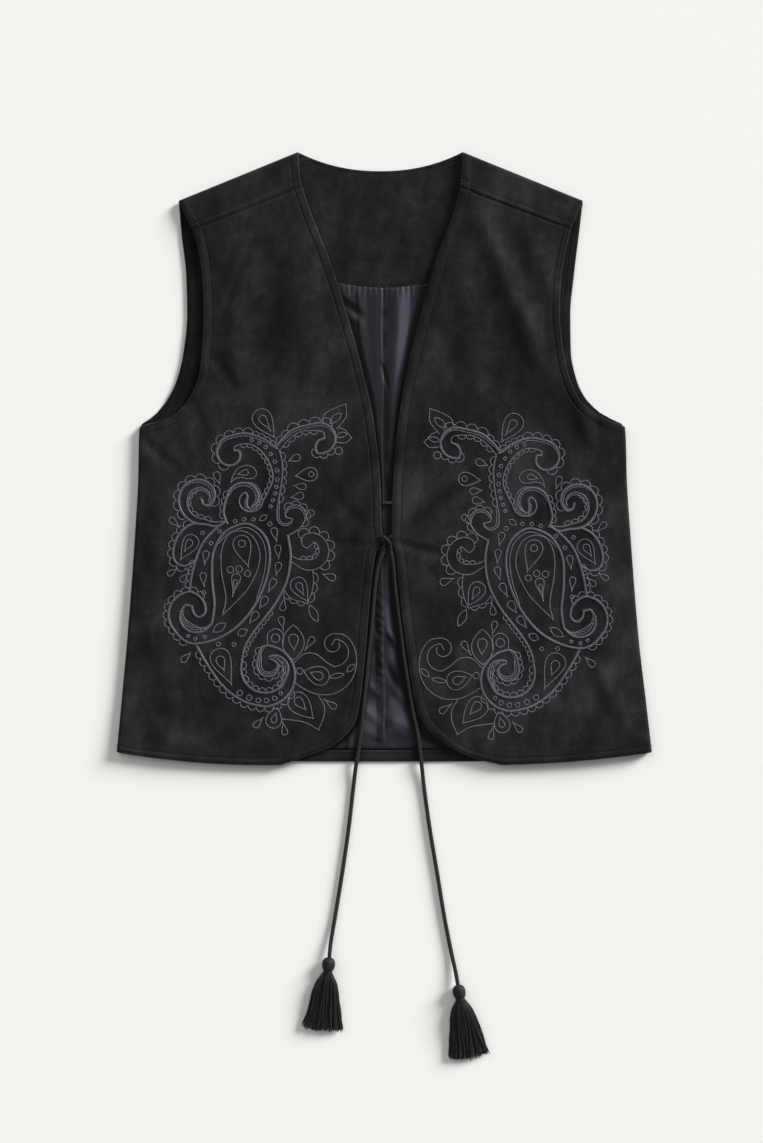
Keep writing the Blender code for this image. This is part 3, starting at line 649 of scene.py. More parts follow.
def back_hem(x):
    """Height of the back's hem at x: level in the middle, a little higher at the side seams."""
    return HEM_BACK + (HEM_SIDE - HEM_BACK) * np.abs(np.asarray(x) / SIDE_SEAM[-1][2]) ** 4


def roll(steps=7):
    """A quarter-round fold in steps: how far in from the fold, and the share of the way down to its
    middle."""
    angle = np.linspace(math.asin(SEAM_GAP / 2 / ROLL), math.pi / 2, steps)
    return ROLL * (1 - np.cos(angle)), 1 - np.sin(angle)


def suede_material(name):
    """Black suede: brushed into soft lighter and darker patches at random, a fine fibrous grain, a dusty sheen, and
    pressed edges. The attribute 'rim' is mm from the edge, where the edge is painted lighter, partly as rubbed wear
    and partly as a painted highlight, with a painted shade line in the crease just inside. The attribute 'seam' is mm
    from the topstitched line, whose groove gets painted shade. A third attribute is painted light and shade on the
    folds: lighter where a fold faces the window, darker in its creases and in the shade of a front."""
    sheen = dict(Sheen_Weight=0.05, Sheen_Roughness=0.5, Sheen_Tint=(0.95, 0.92, 0.96, 1))
    made = shader_material(name, Roughness=0.95, Specular_IOR_Level=0.08, **sheen)
    nodes = Nodes(made)
    streaks = nodes.add("Mapping", {0: nodes.place(), "Scale": (46, 21, 20), "Rotation": (0, 0, 0.4)})
    streak = nodes.noise(1.0, 6.0, 0.64, at=streaks)
    cloud = nodes.noise(11.0, 3.0, 0.55)
    blotch = nodes.noise(64.0, 6.0, 0.7, distortion=0.25)
    fibre = nodes.noise(900.0, 4.0, 0.7)
    grain = nodes.noise(260.0, 3.0, 0.6)
    # The suede's own brushed tone, lighter and darker at random.
    nap_and_painted_shade = nodes.total((streak, 0.29), (blotch, 0.22), (cloud, 0.29), (fibre, 0.20))
    tone = nodes.add("ValToRGB", {0: nap_and_painted_shade})
    stops = tone.node.color_ramp.elements
    stops.new(0.50)
    for stop, (position, colour) in zip(stops, SUEDE_TONES):
        stop.position, stop.color = position, colour
    # Painted light and shade from the point attribute: 0.25 to 2.2 times the colour.
    painted_shade_scale = nodes.remap(nodes.mark("nap_and_painted_shade"), -0.75, 1.2, 0.25, 2.2)
    rim, away = nodes.mark("rim"), nodes.math("ABSOLUTE", nodes.mark("seam"))
    # Lighter at the very rim, partly rubbed wear and partly a painted highlight where the rolled edge catches the
    # light; with the next line, a painted shade line in the crease about 2 mm in.
    wear_and_edge_highlight = nodes.remap(rim, 0.2, 1.9, 1.7, 0.72, soft=True)
    band = nodes.remap(rim, 2.2, 3.6, 0.0, 0.30, soft=True)
    # Painted shade in the groove of the topstitched line.
    dark = nodes.remap(away, 0.3, 1.5, 0.80, 1.0, soft=True)
    shade = nodes.math("MULTIPLY", nodes.math("ADD", wear_and_edge_highlight, band), dark)
    nodes.paint(nodes.scaled(tone, painted_shade_scale), shade)
    groove = nodes.remap(away, 0.0, 1.3, -1.0, 0.0, soft=True)
    nodes.roughen(
        nodes.total((fibre, 0.20), (grain, 0.25), (blotch, 0.9), (groove, 0.75)), strength=0.75, depth=0.5
    )
    return made


suede = suede_material("suede_black")


def declare(piece, node, slot, size, cut, rests_on=()):
    """Says that a piece of cloth stands for its node, and the size that it was cut to."""
    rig.replaces(piece, node)
    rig.slot(piece, slot)
    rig.sheet(piece, flat=(size[0] * MM, size[1] * MM), held="laid", rests_on=list(rests_on), area=cut)


def back_piece():
    """The back's outer face looks down: flat in the middle, rolled up by a quarter circle at sides and
    shoulders."""
    inwards, drop = roll()
    v = np.unique(np.concatenate([np.linspace(0, 1, 100), [0.0003, 0.0009, 0.9988, 0.9993, 0.9997]]))
    side_y = SHOULDER_OUTER + (HEM_SIDE - SHOULDER_OUTER) * v
    left, right = (edge_x(BACK_SIDES, side, side_y)[:, None] for side in SIDES)
    between = np.linspace(0, 1, 72)[1:-1]
    span = right - left - 2 * inwards[-1]
    x = np.concatenate([left + inwards, left + inwards[-1] + span * between, right - inwards[::-1]], axis=1)
    top, low = neckline(x[0]), back_hem(x[-1])
    y = top + (low - top) * v[:, None]
    by_shoulder = top[None] - inwards[:, None]
    x = np.concatenate([np.repeat(x[:1], len(inwards) - 1, axis=0), x], axis=0)
    y = np.concatenate([by_shoulder[:-1], np.minimum(y, by_shoulder[-1])], axis=0)
    z, seams = np.zeros(x.shape), np.zeros(x.shape)
    on_shoulder = np.maximum(ease(0, 10, NECK_LEFT - x[0]), ease(0, 10, x[0] - NECK_RIGHT))
    z[: len(drop)] = drop[:, None] * on_shoulder
    seams[0] = on_shoulder
    by_side = 1 - ease(UNDERARM, ROLL_STARTS, y)
    z[:, : len(drop)] = np.maximum(z[:, : len(drop)], by_side[:, : len(drop)] * drop)
    z[:, -len(drop) :] = np.maximum(z[:, -len(drop) :], by_side[:, -len(drop) :] * drop[::-1])
    seams[:, 0] = np.maximum(seams[:, 0], by_side[:, 0])
    seams[:, -1] = np.maximum(seams[:, -1], by_side[:, -1])
    points = edge(x, y)
    hem_x = np.linspace(*SIDE_SEAM[-1][1:], 120)
    neck_x = np.linspace(NECK_LEFT, NECK_RIGHT, 60)
    arm_y = np.linspace(SHOULDER_OUTER, UNDERARM, 60)
    rims = [edge(hem_x, back_hem(hem_x)), edge(neck_x, neckline(neck_x))]
    rim = from_rims(points, rims + [edge_at(BACK_SIDES, side, arm_y) for side in SIDES])
    half = np.maximum(rounded(rim, SHELL / 2, SHELL), SHELL / 2 * seams)
    values = {"rim": rim, "seam": rim - BACK_STITCH_AWAY}
    height = z * ROLL
    return cloth("back_suede", points, height, half, suede, seams, looks_up=False, wall=SHELL, values=values)


declare(back_piece(), "back_shell", "suede", (536, 611), 0.279, ["table"])

# ---- inside the back: suede facings ----
# Facings of the same suede finish the back's neck, armholes and hem on the inside. The neck facing's lower
# edge covers the top of the lining, and the hem's is a narrow strip.

INSET, SHOULDER_INSET = 4.4, 4.8
FAR_FROM_SEAM = -50.0
# Painted shade on each armhole facing, where the front's raised armhole edge shades it.
ARMHOLE_FACING_PAINTED_SHADE = {"left": -0.52, "right": -0.1}
FACING_EDGE = ((300, -160, 152), (60, -160, 152), (8, -236, 233))
NECK_FACING_LOW, NECK_FACING_DIP = 180, 8
LINING_LOW = -292
# Columns of every fold's table: x and y of its crest's two ends, half width, rise.
FACING_SINKS = (
    (-40, 300, -30, 190, 9, 0.35), (10, 290, 4, 180, 7, 0.3), (38, 292, 30, 190, 8, -0.3),
    (-12, 290, -16, 196, 6, -0.25),
)


def folds_at(rows, x, y):
    """Lift of the cloth by soft folds at x, y: each row is a crest's two ends, its half width and its rise.
    Across the crest it is a bell curve, and it fades out towards both ends."""
    lift = np.zeros(np.broadcast(x, y).shape)
    for x0, y0, x1, y1, half_width, rise in rows:
        run = np.array([x1 - x0, y1 - y0], float)
        length = np.linalg.norm(run)
        ahead = ((x - x0) * run[0] + (y - y0) * run[1]) / length**2
        aside = ((x - x0) * run[1] - (y - y0) * run[0]) / length
        ends = ease(-0.25, 0.3, ahead) * ease(-0.25, 0.3, 1 - ahead)
        lift += rise * ends * np.exp(-((aside / half_width) ** 2))
    return lift


def inside_edge(side, height):
    """X of the inside pieces' outer edge: the armhole's edge, then inside the rolled side seam."""
    inset = INSET * (1 - ease(ROLL_STARTS + 1, ROLL_STARTS + 12, height))
    return edge_x(BACK_SIDES, side, height) + inset * (1 if side == "left" else -1)


def facing_x(side, height):
    """X of the armhole facing's inner edge, which runs straight between its table's points."""
    rows = FACING_EDGE[::-1]
    column = 1 + SIDES.index(side)
    return np.interp(height, [row[0] for row in rows], [row[column] for row in rows])


def inside_piece(name, edges, columns, rows, material, rims=(), folds=(), stitched=True, nap_and_painted_shade=0.0):
    """A piece that lies on the back's inside, between its four edges, with the listed paths as finished rims. The
    first of them may be topstitched, and a painted shade darkens a piece that lies in the shade of a front."""
    u, v = np.meshgrid(columns, rows)
    points = patch(*edges, u, v)
    z = INSIDE_TOP + folds_at(folds, points[..., 0], points[..., 1])
    rim = from_rims(points, rims)
    half = rounded(rim, LINING_WALL / 2, LINING_WALL)
    seam = away_from(points, rims[0])[0] - FACING_STITCH_AWAY if stitched else np.full(z.shape, FAR_FROM_SEAM)
    values = {"rim": rim, "seam": seam, "nap_and_painted_shade": np.full(z.shape, nap_and_painted_shade)}
    return cloth(name, points, z, half, material, wall=LINING_WALL, values=values)


def dense(count, *ends):
    """Even steps from 0 to 1, with a few more just inside each named end, where an edge is rounded."""
    near = np.array([0.0006, 0.0018, 0.0035])
    extra = [near if end == 0 else 1 - near for end in ends]
    return np.unique(np.concatenate([np.linspace(0, 1, count), *extra]))


def neck_facing_x(t):
    """X along the neck facing's long edges, between the armhole facings."""
    left = facing_x("left", SHOULDER_NECK) + SEAM_GAP
    return left + (facing_x("right", SHOULDER_NECK) - SEAM_GAP - left) * t


def neck_facing_low(x):
    """Height of the neck facing's lower edge: level, with a dip in the middle."""
    return NECK_FACING_LOW - NECK_FACING_DIP * np.clip(1 - (x / 60) ** 2, 0, 1)


def neck_facing_top(t):
    """The neck facing's upper edge: the neckline, and inside the shoulder's fold beside it."""
    x = neck_facing_x(t)
    on_shoulder = np.maximum(ease(-14, 0, NECK_LEFT - x), ease(-14, 0, x - NECK_RIGHT))
    return edge(x, neckline(x) - SHOULDER_INSET * on_shoulder - 0.4)


def neck_facing_foot(t):
    """The neck facing's lower edge."""
    x = neck_facing_x(t)
    return edge(x, neck_facing_low(x))


grid = np.linspace(0, 1, 160)
edges = (
    neck_facing_top,
    neck_facing_foot,
    line(neck_facing_top(ZERO)[0], neck_facing_foot(ZERO)[0]),
    line(neck_facing_top(ONE)[0], neck_facing_foot(ONE)[0]),
)
rims = (neck_facing_top(grid), neck_facing_foot(grid))
piece = inside_piece("neck_facing_suede", edges, grid, dense(44, 0, 1), suede, rims, FACING_SINKS)
declare(piece, "back_neck_facing", "suede", (311.4, 129.4), 0.034, ["back_suede"])

foot = FACING_EDGE[2][0]
for side in SIDES:
    tip = SHOULDER_OUTER - SHOULDER_INSET - 0.6
    head = float(neckline(facing_x(side, SHOULDER_OUTER))) - SHOULDER_INSET

    def outer(t, side=side, tip=tip):
        y = tip + (foot - tip) * t
        return edge(inside_edge(side, y), y)

    def inner(t, side=side, head=head):
        y = head + (foot - head) * t
        return edge(facing_x(side, y), y)

    edges = (line(outer(ZERO)[0], inner(ZERO)[0]), line(outer(ONE)[0], inner(ONE)[0]), outer, inner)
    t = np.linspace(0, 1, 90)
    nap_and_painted_shade = ARMHOLE_FACING_PAINTED_SHADE[side]
    piece = inside_piece(f"armhole_facing_suede_{side}", edges, dense(14, 0), t, suede, (outer(t),), nap_and_painted_shade=nap_and_painted_shade)
    declare(piece, f"armhole_facing_{side}", "suede", (86, 264), 0.0105, ["back_suede"])

strip_top = LINING_LOW - SEAM_GAP
reach = SIDE_SEAM[-1][2] - INSET - 1.5
edges = (
    lambda t: edge(-reach + 2 * reach * t, strip_top),
    lambda t: edge(-reach + 2 * reach * t, np.minimum(back_hem(-reach + 2 * reach * t) + 0.4, strip_top - 3)),
    line((-reach, strip_top), (-reach, strip_top - 3)),
    line((reach, strip_top), (reach, strip_top - 3)),
)
t = np.linspace(0, 1, 170)
rims = (edges[0](t), edges[1](t))
piece = inside_piece("hem_facing_suede", edges, t, dense(8, 0, 1), suede, rims, stitched=False)
declare(piece, "hem_facing", "suede", (524.4, 11.2), 0.0049, ["back_suede"])

# ---- back lining ----
# Grey satin with a centre-back seam, set into the facings. It is a little too wide for the back, so it
# puckers under the neck facing and lies in soft upright folds where the fronts leave it open.

FRONT_EDGE = (
    (307, -86, 78), (279, -84, 77), (262, -79, 74), (242, -72, 68), (199, -55, 52), (153, -40, 39),
    (93, -23, 24), (33, -10, 13.5), (-32, -3.5, 8.5), (-70, -2.5, 7.5), (-82, -0.5, 6.5), (-92, -7.5, 10.5),
    (-133, -13.5, 15), (-196, -19, 23), (-245, -24.5, 31), (-264, -29, 38), (-276, -38, 48),
    (-289, -54, 66), (-299, -80, 86), (-307, -104, 118),
)
# Columns of both pleat tables: x and y of the upper and the lower end, left run, right run, rise.
LINING_SEAMS = (
    (-2.8, 176, -1.8, -84, 22, 1.2, 1.1), (-3.0, -88, -0.2, -292, 8.0, 1.3, 0.9),
)
LINING_PLEATS = (
    (12.5, 178, 5.5, -40, 13.0, 15, 1.6), (-27, 172, -17, 60, 4.2, 9, 0.6),
    (31, -258, 33, -292, 6.0, 7.0, 0.6), (-33, -268, -36, -292, 5.0, 6.0, 0.5),
)
LINING_WRINKLES = (
    (-43, 158, -24, 143, 3.6, -1.0), (-40, 151, -24, 134, 4.0, 0.5), (-2, 93, 3, 72, 2.0, -0.7),
    (-10, -166, -5, -180, 2.6, -0.5), (-9, -196, -5, -212, 2.8, -0.5), (3, -172, 12, -188, 3.2, 0.8),
    (4, -208, 13, -230, 3.2, -0.8), (6, -226, 22, -246, 4.6, 0.9), (-16, -226, -4, -240, 4.0, 0.5),
    (-22, -250, -4, -266, 4.6, 0.6), (3, -262, 26, -268, 4.2, 0.5), (-24, -278, -4, -284, 3.0, -0.4),
)
# Painted light and shade on the lining's folds and creases: rows of the fold tables, the last column how much lighter
# (above 0) or darker.
LINING_SHADES = (
    (0.4, 174, 0.2, 150, 1.8, -0.6), (0.2, 149, 0.6, 142, 2.6, -1.3), (0.4, 128, 0.6, 112, 2.0, -0.9),
    (-2.4, 97, 3.8, 70, 1.7, -1.5), (5.0, 176, 3.0, 60, 6.0, 0.30), (2.8, 60, 4.0, 30, 2.0, -0.6),
    (2.4, 34, 3.4, 18, 1.7, -1.2), (2.6, 10, 3.0, -6, 1.7, -1.1), (2.6, -14, 3.4, -40, 1.8, -1.0),
    (-44, 161, -22, 146, 3.0, -2.3), (-37, 146, -33, 136, 2.6, 1.3), (-34, 140, -20, 78, 3.4, -1.2),
    (-22, 78, -12, 20, 3.0, -1.0), (-40, 172, -33, 160, 5, 0.5), (-34, 132, -31, 122, 3, 0.8),
    (22, 176, 19, 70, 6.0, 0.9), (19, 70, 11, -30, 4.0, 0.8), (11, 172, 11, 120, 4.0, -0.35),
    (-6.0, -124, -7.5, -212, 3.4, -0.9), (-6.5, -186, -7.0, -192, 2.4, -1.3),
    (-8.0, -200, -6.5, -218, 2.6, -1.5), (3.0, -102, 4.4, -146, 2.8, 0.8), (2.5, -146, 6.0, -178, 3.6, 1.3),
    (2.0, -176, 7.0, -183, 1.5, -1.4), (8.0, -186, 11.0, -206, 4.6, 1.2),
    (3.4, -206, 12.5, -232, 2.4, -1.6), (-14, -214, -12, -232, 4.0, 0.5), (2.2, -238, 2.6, -250, 1.6, -1.2),
    (-13, -242, -11, -278, 10, 1.05), (-24, -252, -26, -272, 6, 0.7), (12, -234, 18, -272, 9.5, 1.3),
    (24, -248, 27, -262, 4.5, 0.7), (-15, -234, -4, -240, 4.0, -0.7), (2.0, -258, 2.6, -276, 1.6, -1.3),
    (-18, -281, -3, -283, 2.6, -0.8), (6, -276, 24, -281, 3.2, -0.9), (8, -284, 9, -291, 3.0, 0.5),
    (-26, -276, -27, -290, 4, -0.8), (-12, -284, -12, -291, 3.0, 0.4), (34, -272, 42, -288, 6, -0.6),
)
SEAM_PUCKERS, FACING_PUCKERS, PUCKER_PITCH = 0.3, 0.3, 5.4
SATIN_COLOUR, SATIN_WALL = (0.0185, 0.0178, 0.0232), 0.8


def satin_material(name):
    """Grey satin: a tight weave with long soft highlights. A point attribute, how steeply the cloth falls to the
    right, paints light and shade: lighter, up to a painted highlight, where it falls to the right towards the window,
    and darker where it falls to the left; it also carries the painted shade of creases and of the fronts' shadow."""
    made = shader_material(name, Roughness=0.38, Specular_IOR_Level=0.22, Anisotropic=0.3)
    nodes = Nodes(made)
    warp = nodes.add("Mapping", {0: nodes.place(), "Scale": (1500, 260, 1)})
    thread = nodes.noise(1.0, 2.0, 0.6, at=warp)
    broad = nodes.remap(nodes.noise(24.0, 3.0), 0.3, 0.7, 0.86, 1.14)
    fine = nodes.remap(thread, 0.3, 0.7, 0.93, 1.07)
    painted_light_and_shade = nodes.mark("painted_light_and_shade")
    # Painted shade where the cloth falls to the left or lies in shadow.
    painted_shade_side = nodes.remap(painted_light_and_shade, -0.30, 0.0, 0.08, 1.0, soft=True)
    # Painted highlight where the cloth falls to the right, towards the window.
    more = nodes.remap(painted_light_and_shade, 0.0, 0.24, 0.0, 2.6, soft=True)
    weave = nodes.math("MULTIPLY", broad, fine)
    nodes.paint(SATIN_COLOUR, nodes.math("MULTIPLY", weave, nodes.math("ADD", painted_shade_side, more)))
    nodes.roughen(nodes.math("MULTIPLY_ADD", thread, 0.10, nodes.noise(60.0, 2.0)), strength=0.35, depth=0.6)
    return made


def front_edges(y):
    """X of the left and the right front's edge at the given heights."""
    return (edge_x(FRONT_EDGE, side, y) for side in SIDES)


def opening(x, y, soft=7.0):
    """1 where the fronts leave the back open, fading to 0 under their edges."""
    left, right = front_edges(y)
    return ease(-soft, 1, x - left) * ease(-soft, 1, right - x)


def pleats_at(rows, x, y):
    """Height of soft folds that are steeper on one side: each rises over its left run and falls over its
    right."""
    height = np.zeros(np.broadcast(x, y).shape)
    for high_x, high_y, low_x, low_y, left_run, right_run, rise in rows:
        share = (high_y - y) / (high_y - low_y)
        crest = high_x + (low_x - high_x) * share + 0.5 * np.sin(y / 17 + high_x)
        stretch = ease(-0.02, 0.06, share) * (1 - ease(0.9, 1.0, share))
        beside = ease(-left_run, 0, x - crest) * (1 - ease(0, right_run, x - crest))
        height = height + rise * stretch * beside * (1 + 0.14 * np.sin(y / 23 + low_x))
    return height


def under_ties(x, y):
    """How high the lining may stand so that the ties lie clear on it."""
    room = np.full(np.broadcast(x, y).shape, 9.0)
    for route in TIE_ROUTES.values():
        tie = smooth_route(route, 4.0)
        tie = tie[np.argsort(tie[:, 1])]
        gap = np.abs(x - np.interp(y, tie[:, 1], tie[:, 0]))
        room = np.minimum(room, 0.12 + 1.6 * ease(1.6, 4.8, gap) + 9 * ease(-90, -80, y))
    return room


def free_rise(x, y):
    """Puckers under the neck facing and along the lower centre seam, and the long folds where it is
    free."""
    below = neck_facing_low(x) - y
    wave = np.sin(2 * math.pi * (x + 0.05 * below * np.sin(x / 5)) / PUCKER_PITCH)
    pucker = FACING_PUCKERS * wave * np.exp(-np.abs(below - 1) / 6)
    seam = SEAM_PUCKERS * np.sin(y / 1.55 + 1.5 * np.sin(y / 9)) * np.exp(-(((x + 4.5) / 2.6) ** 2))
    seam = seam * (1 - ease(-150, -110, y)) * ease(-240, -215, y)
    return pleats_at(LINING_PLEATS + LINING_SEAMS, x, y) + folds_at(LINING_WRINKLES, x, y) + pucker + seam


def lining_rise(x, y):
    """Height of the lining over its flat lie, kept down under the fronts and the ties."""
    return np.minimum(np.maximum(free_rise(x, y) * opening(x, y), -0.3), under_ties(x, y))


def lining_painted_light_and_shade(x, y):
    """How steeply the lining falls to the right, as painted light and shade: its slope, kept within bounds and softer
    near the neck facing, paints it lighter where it falls towards the window and darker where it falls away; plus the
    painted lights and shades of its folds and a painted shadow line above the hem facing, less a painted dark band
    beside each front's edge, whose shadow lies on it."""
    step = 0.5
    slope = (free_rise(x - step, y) - free_rise(x + step, y)) / (2 * step)
    ridge = (pleats_at(LINING_SEAMS, x - step, y) - pleats_at(LINING_SEAMS, x + step, y)) / (2 * step)
    slope = slope - ridge + np.clip(ridge, -0.1, 0.03 + 0.05 * ease(-100, -60, y))
    left, right = front_edges(y)
    room = np.clip((right - left) / 40, 0.3, 1)
    below = neck_facing_low(x) - y
    painted_light_and_shade = np.clip(slope, -0.3, 0.15) * (1 - 0.75 * np.exp(-np.maximum(below, 0) / 7))
    # Painted lights and shades of the folds, and a painted shadow line above the hem facing.
    painted_light_and_shade = painted_light_and_shade + 0.16 * folds_at(LINING_SHADES, x, y) - 0.3 * ease(-288.6, -291, y)
    # Painted shade along the left front's edge, darker towards the neck, then a painted shadow beside the right
    # front's edge.
    left_edge_shade = 0.22 + 0.34 * ease(150, 118, y)
    near = 2 * ease(30, -20, y) + 3.2 * ease(-90, -125, y)
    beside_right = 1 - ease(near, near + np.maximum(11 * room, 4.5), right - x)
    return painted_light_and_shade - left_edge_shade * (1 - ease(0, 9 * room, x - left)) - 0.55 * beside_right


def lining_curve(side, start, foot):
    """The lining's side edge: down the armhole facing's inner edge, then inside the side seam."""
    sign = 1 if side == "left" else -1

    def curve(t):
        y = start + (LINING_LOW - start) * t
        beside = facing_x(side, y) + 2 * SEAM_GAP * sign
        return edge(np.where(y > foot - 0.25, beside, inside_edge(side, y)), y)

    return curve


start = NECK_FACING_LOW - SEAM_GAP
lining_left, lining_right = (lining_curve(side, start, foot) for side in SIDES)


def across(t, ends, height_of):
    """A long edge of the lining: x runs between its side edges, and the height follows from x."""
    x = ends[0][0] + (ends[1][0] - ends[0][0]) * t
    return edge(x, height_of(x))


tops = (lining_left(ZERO)[0], lining_right(ZERO)[0])
feet = (lining_left(ONE)[0], lining_right(ONE)[0])
edges = (
    lambda t: across(t, tops, lambda x: neck_facing_low(x) + 1.2),
    lambda t: across(t, feet, lambda x: np.full(x.shape, LINING_LOW)),
    lining_left,
    lining_right,
)
columns = np.unique(np.concatenate([np.linspace(0, 1, 24), np.linspace(0.38, 0.62, 150)]))
heights = np.concatenate([np.linspace(start, foot, 72), [foot - 0.5], np.linspace(2, LINING_LOW, 140)])
satin = satin_material("lining_satin_grey")
points = patch(*edges, *np.meshgrid(columns, (start - heights) / (start - LINING_LOW)))
x, y = points[..., 0], points[..., 1]
height, half = INSIDE_TOP + lining_rise(x, y), np.full(x.shape, SATIN_WALL / 2)
# The painted light and shade goes to the satin as a point attribute.
painted_light_and_shade = {"painted_light_and_shade": lining_painted_light_and_shade(x, y)}
piece = cloth("lining_satin", points, height, half, satin, wall=SATIN_WALL, values=painted_light_and_shade)
declare(piece, "back_lining", "lining_satin", (527, 473), 0.208, ["back_suede"])

# ---- fronts ----
# Two suede fronts, each from the yoke seam to the hem. They roll over at the side seam, the front edge is
# cut away below the half knot into a round corner, and a topstitched line follows every free edge.

FRONT_ARMHOLE = (
    (258, -206, 199), (243, -199.5, 192.5), (228, -191.5, 186.5), (206, -185.5, 181.5), (180, -182, 177),
    (144, -180.5, 175.5), (104, -182.5, 180), (83, -185.5, 184.5), (63, -193.5, 192.5), (47, -206, 207),
    (38, -221.5, 224),
)
FRONT_SIDES = FRONT_ARMHOLE + SIDE_SEAM
# Height of the yoke's seam at the armhole and at the front edge.
YOKE_SEAM = {"left": (228, 271.5), "right": (229, 271)}
HEM_BULGE = {"left": 4.0, "right": 2.5}
FRONT_FOLDS = (
    (-86, 252, -84, 92, 21, 1.5), (-129, 228, -166, 134, 5.0, -0.55), (-150, 215, -146, 110, 12, 0.7),
    (-174, 106, -146, 66, 7.0, -0.7), (-198, 66, -178, 26, 6.0, -0.6), (-244, 22, -204, -14, 6.0, -0.6),
    (-236, -150, -204, -262, 17, 1.3), (-120, -240, -60, -150, 18, 0.8), (-22, -70, -56, -28, 8.0, -0.6),
    (-16, -86, -62, -82, 4.5, -0.5), (-236, -262, -196, -296, 14, 1.0), (92, 250, 158, 92, 12, 1.6),
    (138, 240, 176, 140, 12, 1.3), (70, 190, 96, 60, 13, 0.8), (192, 74, 208, 14, 8.5, 1.2),
    (16, -76, 76, -24, 5.5, -0.9), (12, -84, 64, -98, 4.5, -0.7), (212, -206, 240, -266, 9, 1.2),
    (205, -40, 222, -170, 20, 0.9), (60, -190, 130, -265, 18, 0.8), (236, -255, 196, -296, 14, 1.1),
)
# Painted shade in the fronts' creases and painted light on their ridges: rows of the fold tables, the last column how
# much lighter (above 0) or darker.
FRONT_SHADES = (
    (16, -76, 76, -24, 6.5, -0.50), (22, -48, 62, 4, 10, 0.22), (12, -85, 62, -98, 4.5, -0.38),
    (18, -104, 56, -126, 9, 0.25), (34, -138, 72, -146, 9, -0.25), (-26, -64, -52, -32, 9, -0.24),
    (-18, -86, -62, -84, 4, -0.25), (-30, -40, -70, 10, 9, 0.15), (-174, 104, -148, 68, 8, -0.28),
    (-198, 64, -180, 28, 6, -0.25), (-240, 18, -206, -14, 6, -0.25), (176, 76, 196, 18, 7, -0.35),
    (-115, 240, -108, 96, 12, -0.18), (-80, 225, -58, 96, 11, 0.25), (122, 142, 150, 92, 9, -0.22),
    (-244, -176, -222, -214, 12, -0.22), (-225, -240, -90, -285, 34, -0.30),
    (120, -276, 154, -286, 12, -0.22), (42, -272, 84, -288, 14, 0.18),
)
# How strongly the fronts' painted light follows a fold's slope towards the window.
PAINTED_LIGHT_GAIN = 3.6
STITCH_AWAY, HEM_STITCH_AWAY, ARMHOLE_STITCH_AWAY = 9.0, 6.5, 8.0
EDGE_PUFF, EDGE_CREASE, STITCH_GROOVE = 0.5, 0.22, 0.33
# The grid's finer steps: distances from the hem, the front edge and the armhole, and how much they take up.
HEM_STEPS = (14, 12, 10.2, 9, 8, 7.4, 6.9, 6.5, 6.1, 5.6, 5, 4.2, 3.2, 2.2, 1.4, 0.95, 0.55, 0.25)
EDGE_STEPS = (12, 11, 10.3, 9.8, 9.4, 9.0, 8.6, 8.2, 7.7, 6.8, 5.6, 4.4, 3.2, 2.2, 1.3, 0.85, 0.45, 0.15, 0)
ARM_STEPS = (5.2, 6.2, 6.9, 7.4, 7.8, 8.2, 8.6, 9.2, 10.2)
FRONT_LENGTH, FINE_WIDTH = 560, 23.5


def front_level(x, y):
    """Height of the fronts' upper face on the level: its folds, the lift of the V towards the neck, and a
    hem that stands a little off the table."""
    neck = 1.4 * ease(120, 270, y) * (1 - ease(55, 125, np.abs(x)))
    corner = ease(120, 262, np.abs(x)) * np.where(x > 0, 1.5, 1.3) + 0.6 * ease(90, 200, x)
    hem = (0.7 + corner) * ease(-215, -300, y)
    return 2 * ROLL + folds_at(FRONT_FOLDS, x, y) + neck + hem


def front_painted_light(x, y):
    """Painted light and shade on the fronts: lighter where a fold faces the window, darker where it turns away, plus
    the painted lights and shades of FRONT_SHADES."""
    step = 1.0
    rise_x = folds_at(FRONT_FOLDS, x + step, y) - folds_at(FRONT_FOLDS, x - step, y)
    rise_y = folds_at(FRONT_FOLDS, x, y + step) - folds_at(FRONT_FOLDS, x, y - step)
    return -PAINTED_LIGHT_GAIN * (0.81 * rise_x + 0.59 * rise_y) / (2 * step) + folds_at(FRONT_SHADES, x, y)


def turned_over(level, rise):
    """Height of cloth that turns down over a fold: rise is 0 at the fold's seam and 1 on the level."""
    return ROLL + (level - ROLL) * rise


def pressed(rim, seam):
    """The double layers along a free edge stand up a little, and the topstitching pulls a groove into the
    suede."""
    band = EDGE_PUFF * ease(0.5, 3.0, rim) * ease(0.3, 3.2, -seam)
    band = band - EDGE_CREASE * np.exp(-(((rim - 2.3) / 0.6) ** 2))
    return band - STITCH_GROOVE * np.exp(-((seam / 0.75) ** 2))


def front_free_edge(side):
    """Points along a front's free edge, from the yoke seam round the lower corner to the side seam, and how
    far in its stitched line runs at each."""
    seam_neck = YOKE_SEAM[side][1]
    down = np.concatenate([np.linspace(seam_neck, -240, 150), np.linspace(-241, HEM_FRONT, 60)])
    corner = edge_at(FRONT_EDGE, side, down)
    t = np.linspace(1, 0, 90)[1:]
    side_foot = np.array([edge_x(SIDE_SEAM, side, HEM_SIDE), HEM_SIDE])
    hem = side_foot + (corner[-1] - side_foot) * t[:, None] - edge(0, HEM_BULGE[side] * 4 * t * (1 - t))
    path = np.concatenate([corner, hem])
    return path, STITCH_AWAY + (HEM_STITCH_AWAY - STITCH_AWAY) * ease(-255, -303, path[:, 1])


def armhole_edge(side, low=UNDERARM + 1.0):
    """Points along the front armhole, from the yoke seam to the underarm."""
    return edge_at(FRONT_SIDES, side, np.linspace(YOKE_SEAM[side][0], low, 70))


